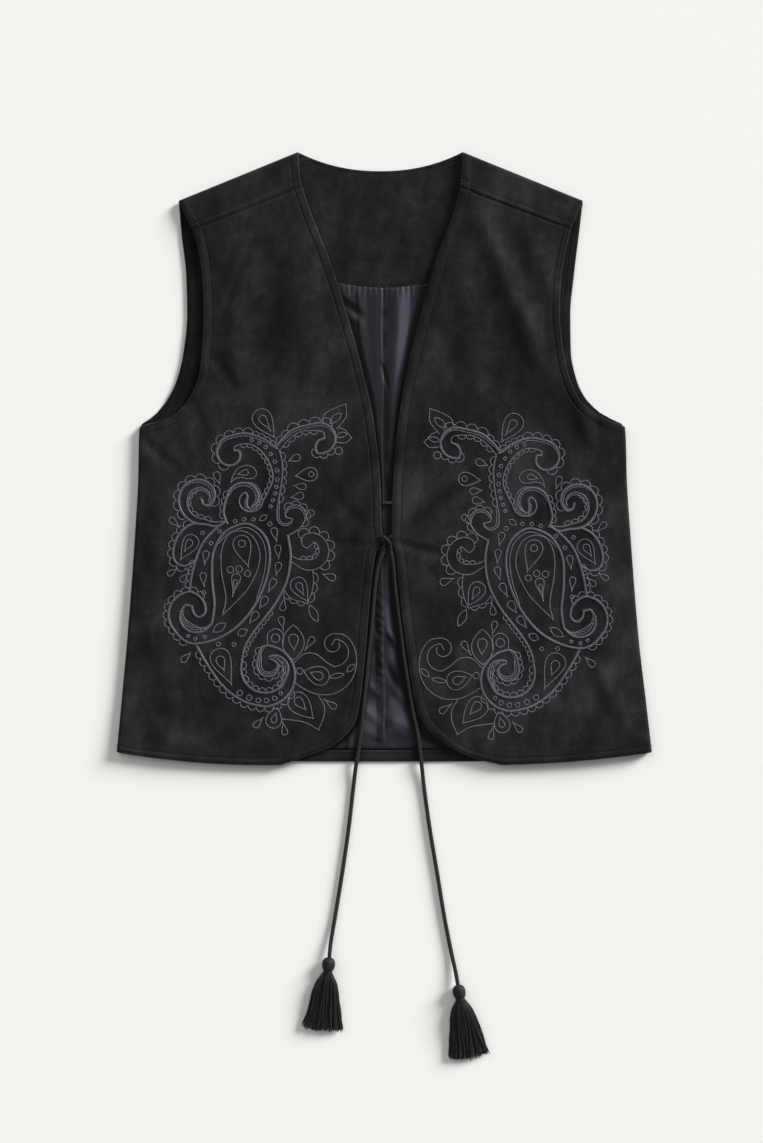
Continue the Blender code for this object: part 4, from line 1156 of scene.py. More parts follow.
def front_piece(side):
    """A front's upper face over its edges, with the wall's roll, its rounded free edges and its stitched
    line."""
    seam_outer, seam_neck = YOKE_SEAM[side]
    by_hem = 1 - np.array(HEM_STEPS) / FRONT_LENGTH
    v = np.unique(np.concatenate([np.linspace(0, 0.972, 140), by_hem, [0.0004, 0.001, 1]]))

    def outer(t):
        return edge_at(FRONT_SIDES, side, seam_outer + (HEM_SIDE - seam_outer) * t)

    def inner(t):
        return edge_at(FRONT_EDGE, side, seam_neck + (HEM_FRONT - seam_neck) * t)

    top = line(outer(ZERO)[0], inner(ZERO)[0])

    def hem(t):
        straight = outer(ONE) * (1 - t[..., None]) + inner(ONE) * t[..., None]
        return straight - edge(0, HEM_BULGE[side] * 4 * t * (1 - t))

    width = np.linalg.norm(inner(v) - outer(v), axis=1)[:, None]
    inwards, drop = roll()
    share = np.linspace(0, 1, 64)[1:-1]
    near = np.broadcast_to([*inwards, *ARM_STEPS], (len(v), len(inwards) + len(ARM_STEPS)))
    middle = ARM_STEPS[-1] + (width - FINE_WIDTH) * share
    distance = np.concatenate([near, middle, width - np.array(EDGE_STEPS)], axis=1)
    u = distance / width
    points = patch(top, hem, outer, inner, u, np.broadcast_to(v[:, None], u.shape))
    x, y = points[..., 0], points[..., 1]
    rolled = (1 - ease(UNDERARM, ROLL_STARTS, outer(v)[:, 1]))[:, None]
    rise = 1 - rolled * np.concatenate([drop, np.zeros(u.shape[1] - len(drop))])
    seams = np.zeros(u.shape)
    seams[:, 0] = rolled[:, 0]
    path, inset = front_free_edge(side)
    rim, at = away_from(points, path, inset)
    arm, _ = away_from(points, armhole_edge(side))
    seam = np.minimum(arm - ARMHOLE_STITCH_AWAY, rim - at)
    rim = np.minimum(rim, arm)
    puff = pressed(rim, seam)
    half = rounded(rim, FRONT_WALL / 2, FRONT_WALL)
    from_yoke = (v * (seam_neck - HEM_FRONT))[:, None]
    half = half * (1 - 0.5 * np.clip(1 - from_yoke / 0.7, 0, 1) ** 2)
    half = np.maximum(half, FRONT_WALL / 2 * seams)
    height = turned_over(front_level(x, y) + puff, rise)
    # Painted light and shade of the folds goes to the suede as a point attribute, with the distances for its painted
    # edge highlight and groove shade.
    values = {"rim": rim, "seam": seam, "nap_and_painted_shade": front_painted_light(x, y)}
    return cloth(f"front_suede_{side}", points, height, half, suede, seams, wall=FRONT_WALL, values=values)


FRONT_CUT = {"left": 0.1275, "right": 0.1255}
for side in SIDES:
    declare(front_piece(side), f"front_{side}", "suede", (270, 580), FRONT_CUT[side], ["lining_satin"])

# ---- yokes ----
# The shoulder seam lies forward: a suede yoke comes over each shoulder from the back, laps a little over
# the front, and is topstitched just above that seam.

YOKE_LAP, YOKE_GROOVE = 0.28, 5.5
YOKE_STITCHES = {"left": (5.5,), "right": (3.2, 6.8)}


def yoke_height(x, y, above):
    """Height of a yoke at x, y: as the front, and lifted a little along its lower seam, which laps over
    it."""
    lap = YOKE_LAP * np.exp(-((np.maximum(above, 0) / 9.0) ** 2))
    return front_level(x, y) + lap


def yoke_piece(side):
    """A yoke's upper face, from the shoulder's fold to its seam with the front."""
    seam_outer, seam_neck = YOKE_SEAM[side]
    tip_x = edge_x(BACK_ARMHOLE, side, SHOULDER_OUTER)
    neck_x = NECK_LEFT if side == "left" else NECK_RIGHT
    slope = (SHOULDER_NECK - SHOULDER_OUTER) / abs(tip_x - neck_x)
    inwards, drop = roll()
    down = inwards * math.hypot(1, slope)
    share = np.concatenate([np.linspace(0, 1, 26)[1:-1], [0.975, 0.988, 0.996, 1]])

    def ends(high, low):
        return np.concatenate([high - down, high - down[-1] - (high - down[-1] - low) * share])

    outer_y = ends(SHOULDER_OUTER, seam_outer + SEAM_GAP)
    inner_y = ends(SHOULDER_NECK, seam_neck + SEAM_GAP)
    outer = edge_at(FRONT_ARMHOLE, side, outer_y)[:, None]
    inner = edge_at(FRONT_EDGE, side, inner_y)[:, None]
    u = dense(70, 0, 1)[None, :, None]
    points = outer * (1 - u) + inner * u
    x, y = points[..., 0], points[..., 1]
    above = (outer_y[:, None] - outer_y[-1]) * (1 - u[..., 0]) + (inner_y[:, None] - inner_y[-1]) * u[..., 0]
    rise = 1 - np.concatenate([drop, np.zeros(len(share))])[:, None]
    from_neck, from_arm = (away_from(points, path[:, 0])[0] for path in (inner, outer))
    rim = np.minimum(from_arm, from_neck)
    v_seam, arm_seam = from_neck - STITCH_AWAY, from_arm - ARMHOLE_STITCH_AWAY
    seam = np.where(np.abs(v_seam) < np.abs(arm_seam), v_seam, arm_seam)
    low_seam = np.abs(above - YOKE_GROOVE) + 0.6 if side == "left" else above - YOKE_GROOVE
    seam = np.where(np.abs(low_seam) < np.abs(seam), low_seam, seam)
    seams = np.zeros(x.shape)
    seams[0] = 1
    half = rounded(rim, FRONT_WALL / 2, FRONT_WALL)
    half = half * (1 - 0.6 * np.clip(1 - above / 0.9, 0, 1) ** 2)
    half = np.maximum(half, FRONT_WALL / 2 * seams * (rim > 0.5))
    puff = pressed(rim, seam)
    height = turned_over(yoke_height(x, y, above) + puff, rise)
    # The rim along the lap seam gives the lapped edge the suede's painted edge highlight too.
    values = {"rim": np.minimum(rim, above + 0.8), "seam": seam}
    return cloth(f"yoke_suede_{side}", points, height, half, suede, seams, wall=FRONT_WALL, values=values)


for side in SIDES:
    declare(yoke_piece(side), f"yoke_{side}", "suede", (124, 79), 0.0049, [f"armhole_facing_suede_{side}"])

# ---- topstitching ----
# Black polyester thread, one stitch every 3 mm, sunk in the groove that it presses into the suede.

STITCH_PITCH, STITCH_LENGTH = 3.0, 2.35
STITCH_WIDTH, STITCH_RISE, STITCH_SINK = 0.62, 0.28, 0.12


def evenly(path, pitch):
    """Points a pitch apart along a path of points, and the direction of the path at each."""
    points = spaced(path, pitch)
    return points, unit(np.gradient(points, axis=0))


def square_to(way):
    """Directions square to the given ones, to their left."""
    return np.stack([-way[..., 1], way[..., 0]], axis=-1)


def moved_in(path, inset, towards):
    """The path moved sideways by the inset, to the side where the point towards lies, without its loops."""
    aside = square_to(unit(np.gradient(path, axis=0)))
    nearest = np.linalg.norm(path - towards, axis=1).argmin()
    sign = np.sign(((towards - path[nearest]) * aside[nearest]).sum())
    inset = np.broadcast_to(inset, len(path))
    moved = path + sign * aside * inset[:, None]
    return moved[away_from(moved, path)[0] > inset - 0.25]


# A stitch has four rings of six points: where each ring lies, its size and its rise, as shares of the
# stitch's.
STRAND_AROUND = np.arange(6) * math.pi / 3
STRAND_AT = np.array([0.0, 0.22, 0.78, 1.0])
STRAND_SIZE = np.array([0.35, 0.95, 1.0, 0.35])
STRAND_BOW = np.array([-0.35, 0.12, 0.12, -0.35])
STRAND_CAPS = np.array([[0, 5, 4, 1], [1, 4, 3, 2], [18, 19, 22, 23], [19, 20, 21, 22]])


def repeated(one, count, size):
    """The faces of one small mesh of that many points, said again for each of its copies."""
    return (one[None] + (np.arange(count) * size)[:, None, None]).reshape(-1, 4)


def thread_arrays(start, end, height_of, width, rise, sink=0.0):
    """Points and faces of stitches: each is a short rounded strand from start to end, highest in its
    middle. Its section is an ellipse of the given width and rise, centred on the cloth's surface less the
    sink."""
    aside = square_to(unit(end - start))
    middle = start[:, None] + (end - start)[:, None] * STRAND_AT[None, :, None]
    width, rise = (np.broadcast_to(value, len(start))[:, None, None] for value in (width, rise))
    spread = np.cos(STRAND_AROUND) * STRAND_SIZE[:, None]
    lift = np.sin(STRAND_AROUND) * STRAND_SIZE[:, None]
    flat = middle[:, :, None] + aside[:, None, None] * (spread * width / 2)[..., None]
    bow = STRAND_BOW[None, :, None] * rise
    level = height_of(middle[..., 0], middle[..., 1])[..., None] - sink
    points = np.concatenate([flat, (level + bow + lift * rise)[..., None]], axis=-1)
    count, rings, sides = points.shape[:3]
    one = np.concatenate([grid_faces(rings, sides, wrap=True)[:, ::-1], STRAND_CAPS])
    return points.reshape(-1, 3), repeated(one, count, rings * sides)


def thread_piece(name, groups, material):
    """One object from several groups of stitches."""
    starts = np.cumsum([0] + [len(points) for points, _ in groups])
    points = np.concatenate([points for points, _ in groups]) * MM
    faces = np.concatenate([faces + start for (_, faces), start in zip(groups, starts)])
    made = make_mesh(name, points, faces, material)
    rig.ride(made, "root")
    return made


def stitched(path, height_of):
    """A line of running stitches along a path."""
    points, way = evenly(path, STITCH_PITCH)
    half = way * STITCH_LENGTH / 2
    return thread_arrays(points - half, points + half, height_of, STITCH_WIDTH, STITCH_RISE, STITCH_SINK)


def facing_height(x, y):
    """Height of the inside facings' upper face."""
    return INSIDE_TOP + folds_at(FACING_SINKS, x, y)


top_thread = shader_material("topstitch_thread", Base_Color=(0.026, 0.0245, 0.026, 1), Roughness=0.55)
lines = []
for side, sign in zip(SIDES, (-1, 1)):
    front_edge, front_inset = front_free_edge(side)
    seam_outer, seam_neck = YOKE_SEAM[side]
    yoke_neck = edge_at(FRONT_EDGE, side, np.linspace(SHOULDER_NECK - 5, seam_neck, 20))
    yoke_arm = edge_at(FRONT_ARMHOLE, side, np.linspace(SHOULDER_OUTER - 4, seam_outer, 20))
    for path, inset, inside_y in (
        (front_edge, front_inset, -60),
        (armhole_edge(side, 44), ARMHOLE_STITCH_AWAY, 140),
        (yoke_neck, STITCH_AWAY, 240),
        (yoke_arm, ARMHOLE_STITCH_AWAY, 240),
    ):
        lines.append((moved_in(path, inset, np.array((sign * 120, inside_y))), front_level))
    arm_end = edge_at(FRONT_ARMHOLE, side, np.array(seam_outer)) - (sign * 1.0, 0)
    neck_end = edge_at(FRONT_EDGE, side, np.array(seam_neck)) + (sign * 1.0, 0)
    for above in YOKE_STITCHES[side]:
        seam_line = arm_end + (neck_end - arm_end) * np.linspace(0, 1, 12)[:, None] + (0, above)
        lines.append((seam_line, lambda x, y: front_level(x, y) + YOKE_LAP * 0.8))
x = np.linspace(NECK_LEFT + 3, NECK_RIGHT - 3, 60)
lines.append((edge(x, neckline(x) - FACING_STITCH_AWAY), facing_height))
top_stitches = thread_piece("topstitching", [stitched(path, height) for path, height in lines], top_thread)
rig.slot(top_stitches, "suede")

# ---- embroidery ----
# A large paisley spray on each front, worked before the fronts were made up: mauve-grey thread in raised
# satin ropes for the main stems and in running back stitch for drops, leaves, rings and scallops. The right
# front's is the left's turned over. Sizes are millimetres from a point in the middle of the left spray.

SPRAY_PLACE = {"left": (-143.25, -101.75, 1), "right": (150.25, -106.25, -1)}
# Each stem: its stitch, then its points (x, y) and curls (middle x and y, first and last radius, first
# angle, sweep).
STEMS = {
    "arch": ("rope", (36, 111), (22, 121), (4, 126.5), (-9.5, 106, 17.5, 7.5, 100, 285), (-6.5, 109)),
    "arch_band": (
        "braid", (-6.5, 109), (-6.8, 112.5), (-1.5, 115), (9, 115.5), (20, 108.5), (28.7, 95.5),
        (31.5, 79.7), (8, 60, 14, 8.5, -5, -223),
    ),
    "volute": (
        "rope", (-14.3, 37), (-17.5, 48), (4.5, 61, 18.6, 10, 170, -245), (5.5, 57), (6.2, 62.8),
        (5.6, 65.8), (3.4, 67.3),
    ),
    "neck": (
        "braid", (38.5, 109), (41.3, 95), (40.5, 78), (37.5, 60), (35.8, 49), (45, 42, 9, 6.5, 190, 150),
    ),
    "neck_curl": (
        "braid", (51.2, 40.6), (48, 41.7), (44.8, 43), (54, 44, 10.5, 11, 165, -200), (57.5, 30.5),
        (46.8, 24),
    ),
    "body_right": (
        "rope", (46.8, 24), (49.5, 4), (46, -20), (36, -41), (24, -57.5), (12, -73), (3.6, -88),
        (24, -109, 24, 24, 172, 140), (32.5, -108, 15.5, 11.5, -35, 148),
    ),
    "foot": (
        "rope", (-44.4, -86), (-33, -106), (-17, -127.5), (3, -141.5), (23.5, -115.5, 31, 30, -92, 168),
        (24.5, -86), (19, -90.5), (28, -106, 12.5, 9, 162, 205), (33.9, -101.3), (29.9, -99.2),
    ),
    "left_curl": (
        "rope", (-15.1, 38.2), (-24.4, 33.5), (-40, 62, 27, 11, -80, -330), (-38, 56), (-39.5, 61),
    ),
    "left_curl_in": ("braid", (-15.8, 38.5), (-28, 37.8), (-38.5, 60.5, 20, 6, -85, -290)),
    "body_left": ("rope", (-15.8, 38.2), (-26, 30.3), (-38, 17), (-45, 1), (-49.5, -16), (-51.6, -30.8)),
    "ring": (
        "rope", (-49.2, -46.5), (-47.8, -52.5), (-43.5, -57), (-38.5, -56), (-50, -56, 14.5, 24, 14, 76),
        (-50, -56, 24, 22, 98, 112), (-58.8, -79.2), (-45.9, -83.8), (-24, -79), (-3, -66), (14, -45),
        (25, -20), (28.7, 5), (23.5, 24), (9, 35.5), (-6, 33.5), (-19, 24.5), (-28, 6), (-29, -20),
        (-26.8, -44), (-46, -56, 18, 14, -18, -212), (-49.2, -46.5),
    ),
    "volute_boteh": (
        "line", (-9.8, 78), (-8, 84.5), (-3.4, 91), (4.6, 94.4), (11.8, 92.4), (15.5, 86.8), (12.6, 82),
        (6, 81.2), (-0.3, 82.5), (-6, 81.2), (-9.8, 78),
    ),
    "boteh": (
        "line", (-18.5, -55), (-6, -43), (7, -28.5), (17, -8), (18.5, 8), (12, 23), (0, 29), (-12.5, 25),
        (-19.5, 9.5), (-19.5, -12), (-15.2, -38), (-18.5, -55),
    ),
    "lobe": (
        "rope", (-46, 36.5), (-53, 33.8), (-60, 28), (-66, 17.5), (-68, 5), (-64.5, -3.2), (-56, -6.2),
        (-46.5, -2),
    ),
    "right_curl": (
        "line", (50.2, 3.8), (58, 0.5), (69, 11, 11, 7.5, -100, 160), (66, 12), (60.5, 16.5), (62, 24),
        (69, 9, 18, 19.5, 90, -210), (50.5, -2),
    ),
    "leaf_low": ("line", (43, -30), (50, -38.5), (66, -43.7)),
    "leaf_side": ("line", (66, -43.7), (70.5, -33), (72.4, -21.5), (71.7, -11.5)),
    "vine": (
        "line", (53, -103), (63, -94), (74.5, -94), (85, -102), (94, -92.3, 14.2, 12.6, -95, 185),
        (91, -84.6),
    ),
    "vine_low": (
        "line", (54.5, -123.3), (63, -129), (76, -134.3), (92, -134), (105.5, -126), (113.6, -113),
        (115.4, -98), (111.8, -84.5), (104, -75.5), (92.6, -84.6, 11.0, 5.5, 80, 290),
    ),
    "foot_leaf": ("line", (40.8, -159), (52, -160.3), (64.5, -162.7), (77.4, -169.8)),
    "foot_leaf_side": ("line", (77.4, -169.8), (82.5, -157), (83.1, -146), (77.4, -136.2)),
    "round_petal": ("line", (26.5, -85), (26.8, -74), (34.4, -68.8), (41.8, -73.5), (42, -84)),
    "top_arch": (
        "rope", (35, 112.7), (43, 122.7), (54.5, 131.3), (79, 120.5, 16.5, 14, 108, -210), (74.3, 112.5),
        (77, 118.5), (83, 121.5),
    ),
    "top_arch_in": (
        "line", (38.7, 109.8), (47.3, 119.9), (58.8, 127.8), (71.7, 129.2), (81.7, 127.8), (83.8, 122),
    ),
    "top_leaf": ("line", (81, 135.6), (83, 145), (92, 151), (104.6, 155.7)),
    "top_leaf_side": ("line", (104.6, 155.7), (104.8, 143), (96, 131.3)),
    "side_leaf": ("line", (97.5, 132.5), (104, 129.5), (110.4, 122)),
    "side_leaf_low": ("line", (110.4, 122), (104.6, 117), (95, 117.5)),
}
# Columns: stem, start and end as shares of its length, side (1 is left of it), pitch, height.
STEM_SCALLOPS = (
    ("arch", 0.03, 0.24, -1, 6.0, 2.2), ("arch", 0.24, 0.78, -1, 9.4, 4.0),
    ("arch_band", 0.08, 0.8, -1, 6.2, 2.3), ("volute", 0.05, 0.3, 1, 7.5, 2.4),
    ("neck", 0.02, 0.58, 1, 8.0, 3.2), ("neck_curl", 0.2, 0.75, 1, 7.6, 3.2),
    ("body_right", 0.32, 0.54, 1, 5.6, 2.1), ("body_right", 0.56, 0.93, 1, 7.4, 3.2),
    ("foot", 0.02, 0.5, -1, 8.2, 3.8), ("foot", 0.76, 0.96, -1, 6.2, 2.6),
    ("left_curl", 0.3, 0.9, 1, 9.2, 3.9), ("left_curl_in", 0.16, 0.75, -1, 7.0, 2.8),
    ("ring", 0.075, 0.25, -1, 7.6, 3.5), ("lobe", 0.05, 0.97, -1, 8.6, 3.8),
    ("body_left", 0.62, 0.97, -1, 6.6, 3.0), ("right_curl", 0.06, 0.27, 1, 6.6, 2.6),
    ("right_curl", 0.42, 0.8, 1, 9.8, 5.6), ("top_arch", 0.03, 0.16, 1, 7.0, 2.8),
    ("top_arch", 0.16, 0.52, 1, 10.0, 4.6), ("top_arch", 0.7, 0.88, 1, 8.0, 3.2),
    ("top_arch_in", 0.08, 0.8, -1, 7.8, 3.2), ("leaf_low", 0.08, 0.92, -1, 7.8, 3.0),
    ("leaf_side", 0.05, 0.95, -1, 8.6, 3.8),
)
# Columns: stem, start, end, side, distance.
STEM_ECHOES = (
    ("arch", 0.02, 0.6, 1, 2.5), ("volute", 0.5, 0.93, 1, 2.7), ("volute", 0.25, 0.8, -1, 2.6),
    ("neck", 0.55, 0.98, 1, 2.2), ("neck_curl", 0.14, 0.65, -1, 2.2), ("foot", 0.74, 0.97, 1, 2.6),
    ("foot", 0.78, 0.95, 1, 4.6), ("body_right", 0.8, 0.985, 1, 2.6), ("body_right", 0.84, 0.97, 1, 4.7),
    ("ring", 0.43, 0.7, 1, 3.9), ("ring", 0.875, 0.975, -1, 2.9), ("ring", 0.885, 0.968, -1, 5.2),
    ("ring", 0.895, 0.955, -1, 7.4), ("left_curl", 0.55, 0.95, -1, 2.5),
    ("left_curl_in", 0.5, 0.95, -1, 2.2), ("top_arch", 0.05, 0.6, -1, 2.5),
)
# Columns: tip x and y, x and y of the head's centre, width.
DROPS = (
    (33, 122.7, 20.8, 141.4, 19), (29.5, 129.0, 21.5, 140.8, 7.5), (-3.4, 85.8, 4.4, 87.4, 5.5),
    (-21.5, 76.2, -24.4, 84.8, 6.5), (48, 99.1, 55.6, 102.2, 7), (54.5, 84, 69.5, 85.5, 13.5),
    (53, 74, 61.6, 73.3, 6.5), (50.2, 62.5, 58.8, 64, 7), (35.5, 18.8, 33, 28.9, 6.5),
    (37.6, 1.6, 36.6, 11.7, 6.2), (35.1, -15.1, 37.3, -5.7, 6.2), (27.2, -32.2, 32.2, -22.2, 6.8),
    (18.6, -48, 23.6, -40.1, 7.2), (8.6, -63.1, 14.3, -55.2, 7.2), (-36.5, -4.8, -35.1, 5.9, 6.2),
    (-37, -26.5, -38, -15.8, 6.2), (7.2, -7, 0.7, 15.7, 17.5), (-8.6, -36.5, -5, -18.2, 8.8),
    (-8.0, -31, -5.6, -22, 4), (-60.5, 0.2, -50.2, 17.5, 15.5), (-56.6, 8.5, -51.6, 17, 6.5),
    (66.6, -41.6, 57.3, -25.4, 16), (62.5, -35, 58, -26, 6.5), (63.1, -111.1, 78.8, -116.1, 18.5),
    (69.5, -112.6, 77.8, -116.2, 8), (71.7, -158.4, 57, -142.5, 20.5), (64.5, -149.5, 57.5, -141.5, 8.5),
    (36, -148, 32.5, -160.5, 15.5), (34.6, -153.5, 32.8, -160, 5.5), (53, -89.6, 52.3, -79.1, 9.5),
    (-9.3, -125.4, -20.8, -98.6, 20), (-17.2, -110.4, -20.8, -100.5, 8.5),
    (-50.9, -93.2, -57.3, -99.6, 6.2), (22, -157.7, 15, -165.0, 5.8), (41.6, -162, 43.7, -172, 5.8),
    (83.1, -139.7, 92.4, -146.2, 6.2), (81.7, -14.3, 91, -17.6, 7), (42.3, -70.2, 40.1, -59.8, 5.8),
    (63.8, -90.3, 70.7, -79.8, 6.2), (43, -38.7, 41.6, -47.7, 6), (-64, -9, -71, -13.5, 5.5),
    (-53, -13.5, -58.5, -19.5, 5.5), (-62, 33, -69, 39.5, 6), (64, 40, 70, 47, 6),
)
# Columns: x and y of both points, width.
LEAVES = (
    (18.6, 39.6, 25.5, 44.5, 5), (5.7, -70.2, -3.4, -75, 7), (-28, -72, -15.5, -63.5, 7.5),
    (88, -117.5, 103.2, -114.2, 4.6), (106, -112, 113.4, -104.4, 5), (68.5, -45.5, 76.5, -61.8, 7.5),
    (52, -100, 52.3, -65.2, 22), (88.8, 136.6, 100.2, 146.6, 6.6), (94.8, 123.6, 106.2, 126.2, 5),
)
# Columns: x, y, radius.
RINGS = (
    (0.7, 16.2, 3.4), (-10.8, -9.8, 3.2), (-2.0, -9.2, 3.2), (6.4, -13.6, 3.0), (70.2, 85.6, 2.6),
    (97.5, 109, 3.6), (58.5, -111.1, 3.2), (34.4, -78.3, 4.2), (10.3, 119.6, 1.6), (17.9, 117.1, 1.6),
    (24.4, 112.7, 1.6), (29.6, 105.8, 1.6), (33.6, 98.2, 1.7), (35.8, 89.5, 1.8), (36.1, 80.2, 1.8),
    (35.2, 72.9, 1.6), (34, 66.3, 1.5), (31.8, 59.7, 1.5), (29.3, 53.4, 1.5), (28.7, 36, 2.0),
    (12.2, 40.5, 1.7), (2.9, 40.5, 1.7), (-6, 38.6, 1.7), (-21.5, 28.3, 1.7), (-30.1, 16.7, 1.8),
    (-38.7, 26.9, 1.7), (-37.3, -32.7, 1.9), (-36.6, -77.2, 1.5), (-45.9, -79.0, 1.5), (-53, -76, 1.4),
    (-22.9, -84.2, 2.0), (-7.2, -84.6, 1.8), (-1.4, -133.1, 2.7), (7.9, -137.7, 2.6), (17.2, -140.4, 2.3),
    (25.4, -140.6, 2.2), (33.7, -138.3, 2.2), (39.5, -133.5, 1.6),
)
STEM_HALF_WIDTH = {"rope": 1.9, "braid": 1.3, "line": 0.9}
THREADS = {
    "rope": dict(pitch=1.2, length=3.9, width=1.3, slant=45.0, rise=0.95, sink=0.1),
    "braid": dict(pitch=1.15, length=2.7, width=1.15, slant=38.0, rise=0.75, sink=0.12),
    "line": dict(pitch=1.95, length=2.0, width=1.12, slant=12.0, rise=0.62, sink=0.14),
}


def curl(centre_x, centre_y, start_radius, end_radius, start_angle, sweep):
    """Points every 15 degrees or so of a spiral whose radius changes evenly with its angle (degrees)."""
    share = np.linspace(0, 1, max(3, round(abs(sweep) / 15) + 1))
    angle = np.radians(start_angle + sweep * share)
    radius = start_radius + (end_radius - start_radius) * share
    return edge(centre_x + radius * np.cos(angle), centre_y + radius * np.sin(angle))


def stem(parts):
    """A smooth path through a stem's points and curls."""
    points = [curl(*part) if len(part) == 6 else np.array([part], float) for part in parts]
    return smooth_route(np.concatenate(points), 0.5)


def drop(tip_x, tip_y, head_x, head_y, width):
    """A closed tear: along its axis q its half width goes as q^(m/2) (1-q)^(1/2), widest at the head's
    centre."""
    tip, head = np.array([tip_x, tip_y], float), np.array([head_x, head_y], float)
    reach = np.linalg.norm(head - tip)
    axis = (head - tip) / reach
    whole = reach + width / 2
    widest = reach / whole
    power = (2 * widest - 1) / (1 - widest) + 1
    q = (1 - np.cos(np.linspace(0, 2 * math.pi, 49))) / 2
    side = np.sign(np.sin(np.linspace(0, 2 * math.pi, 49)))
    half = q ** (power / 2) * np.sqrt(np.maximum(1 - q, 0))
    half *= width / 2 / (widest ** (power / 2) * math.sqrt(1 - widest))
    return tip + axis * (q * whole)[:, None] + square_to(axis) * (side * half)[:, None]


def leaf(start_x, start_y, end_x, end_y, width):
    """A closed leaf, pointed at both ends: its half width is a half sine of its length."""
    start, end = np.array([start_x, start_y], float), np.array([end_x, end_y], float)
    q = np.concatenate([np.linspace(0, 1, 21), np.linspace(1, 0, 21)[1:]])
    side = np.concatenate([np.ones(21), -np.ones(20)])
    bow = side * width / 2 * np.sin(math.pi * q) ** 0.8
    return start + (end - start) * q[:, None] + square_to(unit(end - start)) * bow[:, None]


def beside(path, start, end, steps):
    """Points along a stretch of a path, given as shares of its length, and the direction square to it at
    each."""
    at = np.linspace(start, end, steps) * lengths(path)[-1]
    return at_lengths(path, at), square_to(at_lengths(path, at, unit(np.gradient(path, axis=0))))


def scallops(path, start, end, side, pitch, height, away):
    """A line of scallops beside a stretch of a path: half sines that stand the given height off the
    stem."""
    count = max(1, round((end - start) * lengths(path)[-1] / pitch))
    points, aside = beside(path, start, end, count * 12 + 1)
    turn = np.linspace(0, count, count * 12 + 1) % 1
    off = away + height * np.sin(math.pi * turn) ** 0.6
    return points + side * aside * off[:, None]


def echo(path, start, end, side, away):
    """A line that keeps beside a stretch of a stem and meets it at both ends."""
    points, aside = beside(path, start, end, 60)
    off = away * np.sin(np.linspace(0, math.pi, 60)) ** 0.25
    return points + side * aside * off[:, None]


def spray():
    """Every path of the left spray with its kind of stitch."""
    stems = {name: stem(row[1:]) for name, row in STEMS.items()}
    lines = []
    for name, start, end, side, pitch, height in STEM_SCALLOPS:
        lines.append(scallops(stems[name], start, end, side, pitch, height, STEM_HALF_WIDTH[STEMS[name][0]]))
    lines += [echo(stems[row[0]], *row[1:]) for row in STEM_ECHOES]
    lines += [drop(*row) for row in DROPS] + [leaf(*row) for row in LEAVES]
    turn = np.linspace(0, 2 * math.pi, 33)
    lines += [edge(x + r * np.cos(turn), y + r * np.sin(turn)) for x, y, r in RINGS]
    return [(row[0], stems[name]) for name, row in STEMS.items()] + [("line", line) for line in lines]


def satin_run(path, height_of, pitch, length, width, slant, rise, sink, turn):
    """A run of stitches along a path, each turned from it by the slant, with a hand's small unevenness."""
    points, way = evenly(path, pitch)
    count = len(points)
    uneven = np.random.default_rng(count * 7 + 3)
    angle = math.radians(slant) * turn + uneven.normal(0, 0.05, count)
    along = way * np.cos(angle)[:, None] + square_to(way) * np.sin(angle)[:, None]
    half = along * (length * uneven.uniform(0.92, 1.06, count) / 2)[:, None]
    widths = width * uneven.uniform(0.9, 1.08, count)
    rises = rise * uneven.uniform(0.9, 1.1, count)
    return thread_arrays(points - half, points + half, height_of, widths, rises, sink)


def thread_material(name, colour):
    """Mercerised thread: mauve-grey, glossy, a little lighter or darker from stitch to stitch."""
    sheen = dict(Sheen_Weight=0.1, Sheen_Roughness=0.4)
    made = shader_material(name, Roughness=0.36, Specular_IOR_Level=0.55, **sheen)
    nodes = Nodes(made)
    near = nodes.remap(nodes.noise(620.0, 1.0), 0.3, 0.7, 0.74, 1.26)
    far = nodes.remap(nodes.noise(32.0, 2.0), 0.3, 0.7, 0.88, 1.12)
    nodes.paint(colour, nodes.math("MULTIPLY", near, far))
    return made


def on_front(side):
    """Height of a front's upper face where the embroidery lies, with the raised band beside its front
    edge."""

    def height(x, y):
        away = np.abs(x - edge_x(FRONT_EDGE, side, y))
        return front_level(x, y) + EDGE_PUFF * ease(STITCH_AWAY + 1.0, STITCH_AWAY - 2.0, away)

    return height


# The ropes' copy of the thread is painted darker than the lines', though both are the same thread: painted shade of
# the dense raised ropes.
MAUVE = {
    "rope": thread_material("embroidery_rope_mauve_painted_shade", (0.073, 0.0695, 0.090)),
    "line": thread_material("embroidery_line_mauve", (0.121, 0.1165, 0.145)),
}
SPRAY = spray()
for side, (place_x, place_y, mirror) in SPRAY_PLACE.items():
    for piece_kind, kinds in (("rope", ("rope", "braid")), ("line", ("line",))):
        runs = [
            satin_run(path * (mirror, 1) + (place_x, place_y), on_front(side), turn=mirror, **THREADS[kind])
            for kind, path in SPRAY
            if kind in kinds
        ]
        made = thread_piece(f"embroidery_{piece_kind}_{side}", runs, MAUVE[piece_kind])
        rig.slot(made, "suede")

# ---- tassels ----
# Black yarn folded over the cord's end, bound at the neck, its strands cut level and fanned out on the
# table.

TASSEL_LINES = {
    "left": ((-55.05, -499.25), (-62.2, -572.5)),
    "right": ((73.75, -526.85), (85.2, -600.0)),
}
# Columns: distance from the cord's end, half width, half height, height of the middle.
TASSEL_SECTIONS = (
    (0, 1.9, 1.9, 6.3), (0.7, 3.6, 3.5, 6.3), (2.2, 5.1, 5.0, 6.3), (5.4, 6.25, 6.0, 6.3),
    (9.6, 6.1, 5.9, 6.3), (12.2, 5.2, 5.0, 6.1), (14.2, 4.0, 3.9, 6.0), (17.5, 3.7, 3.7, 5.9),
)
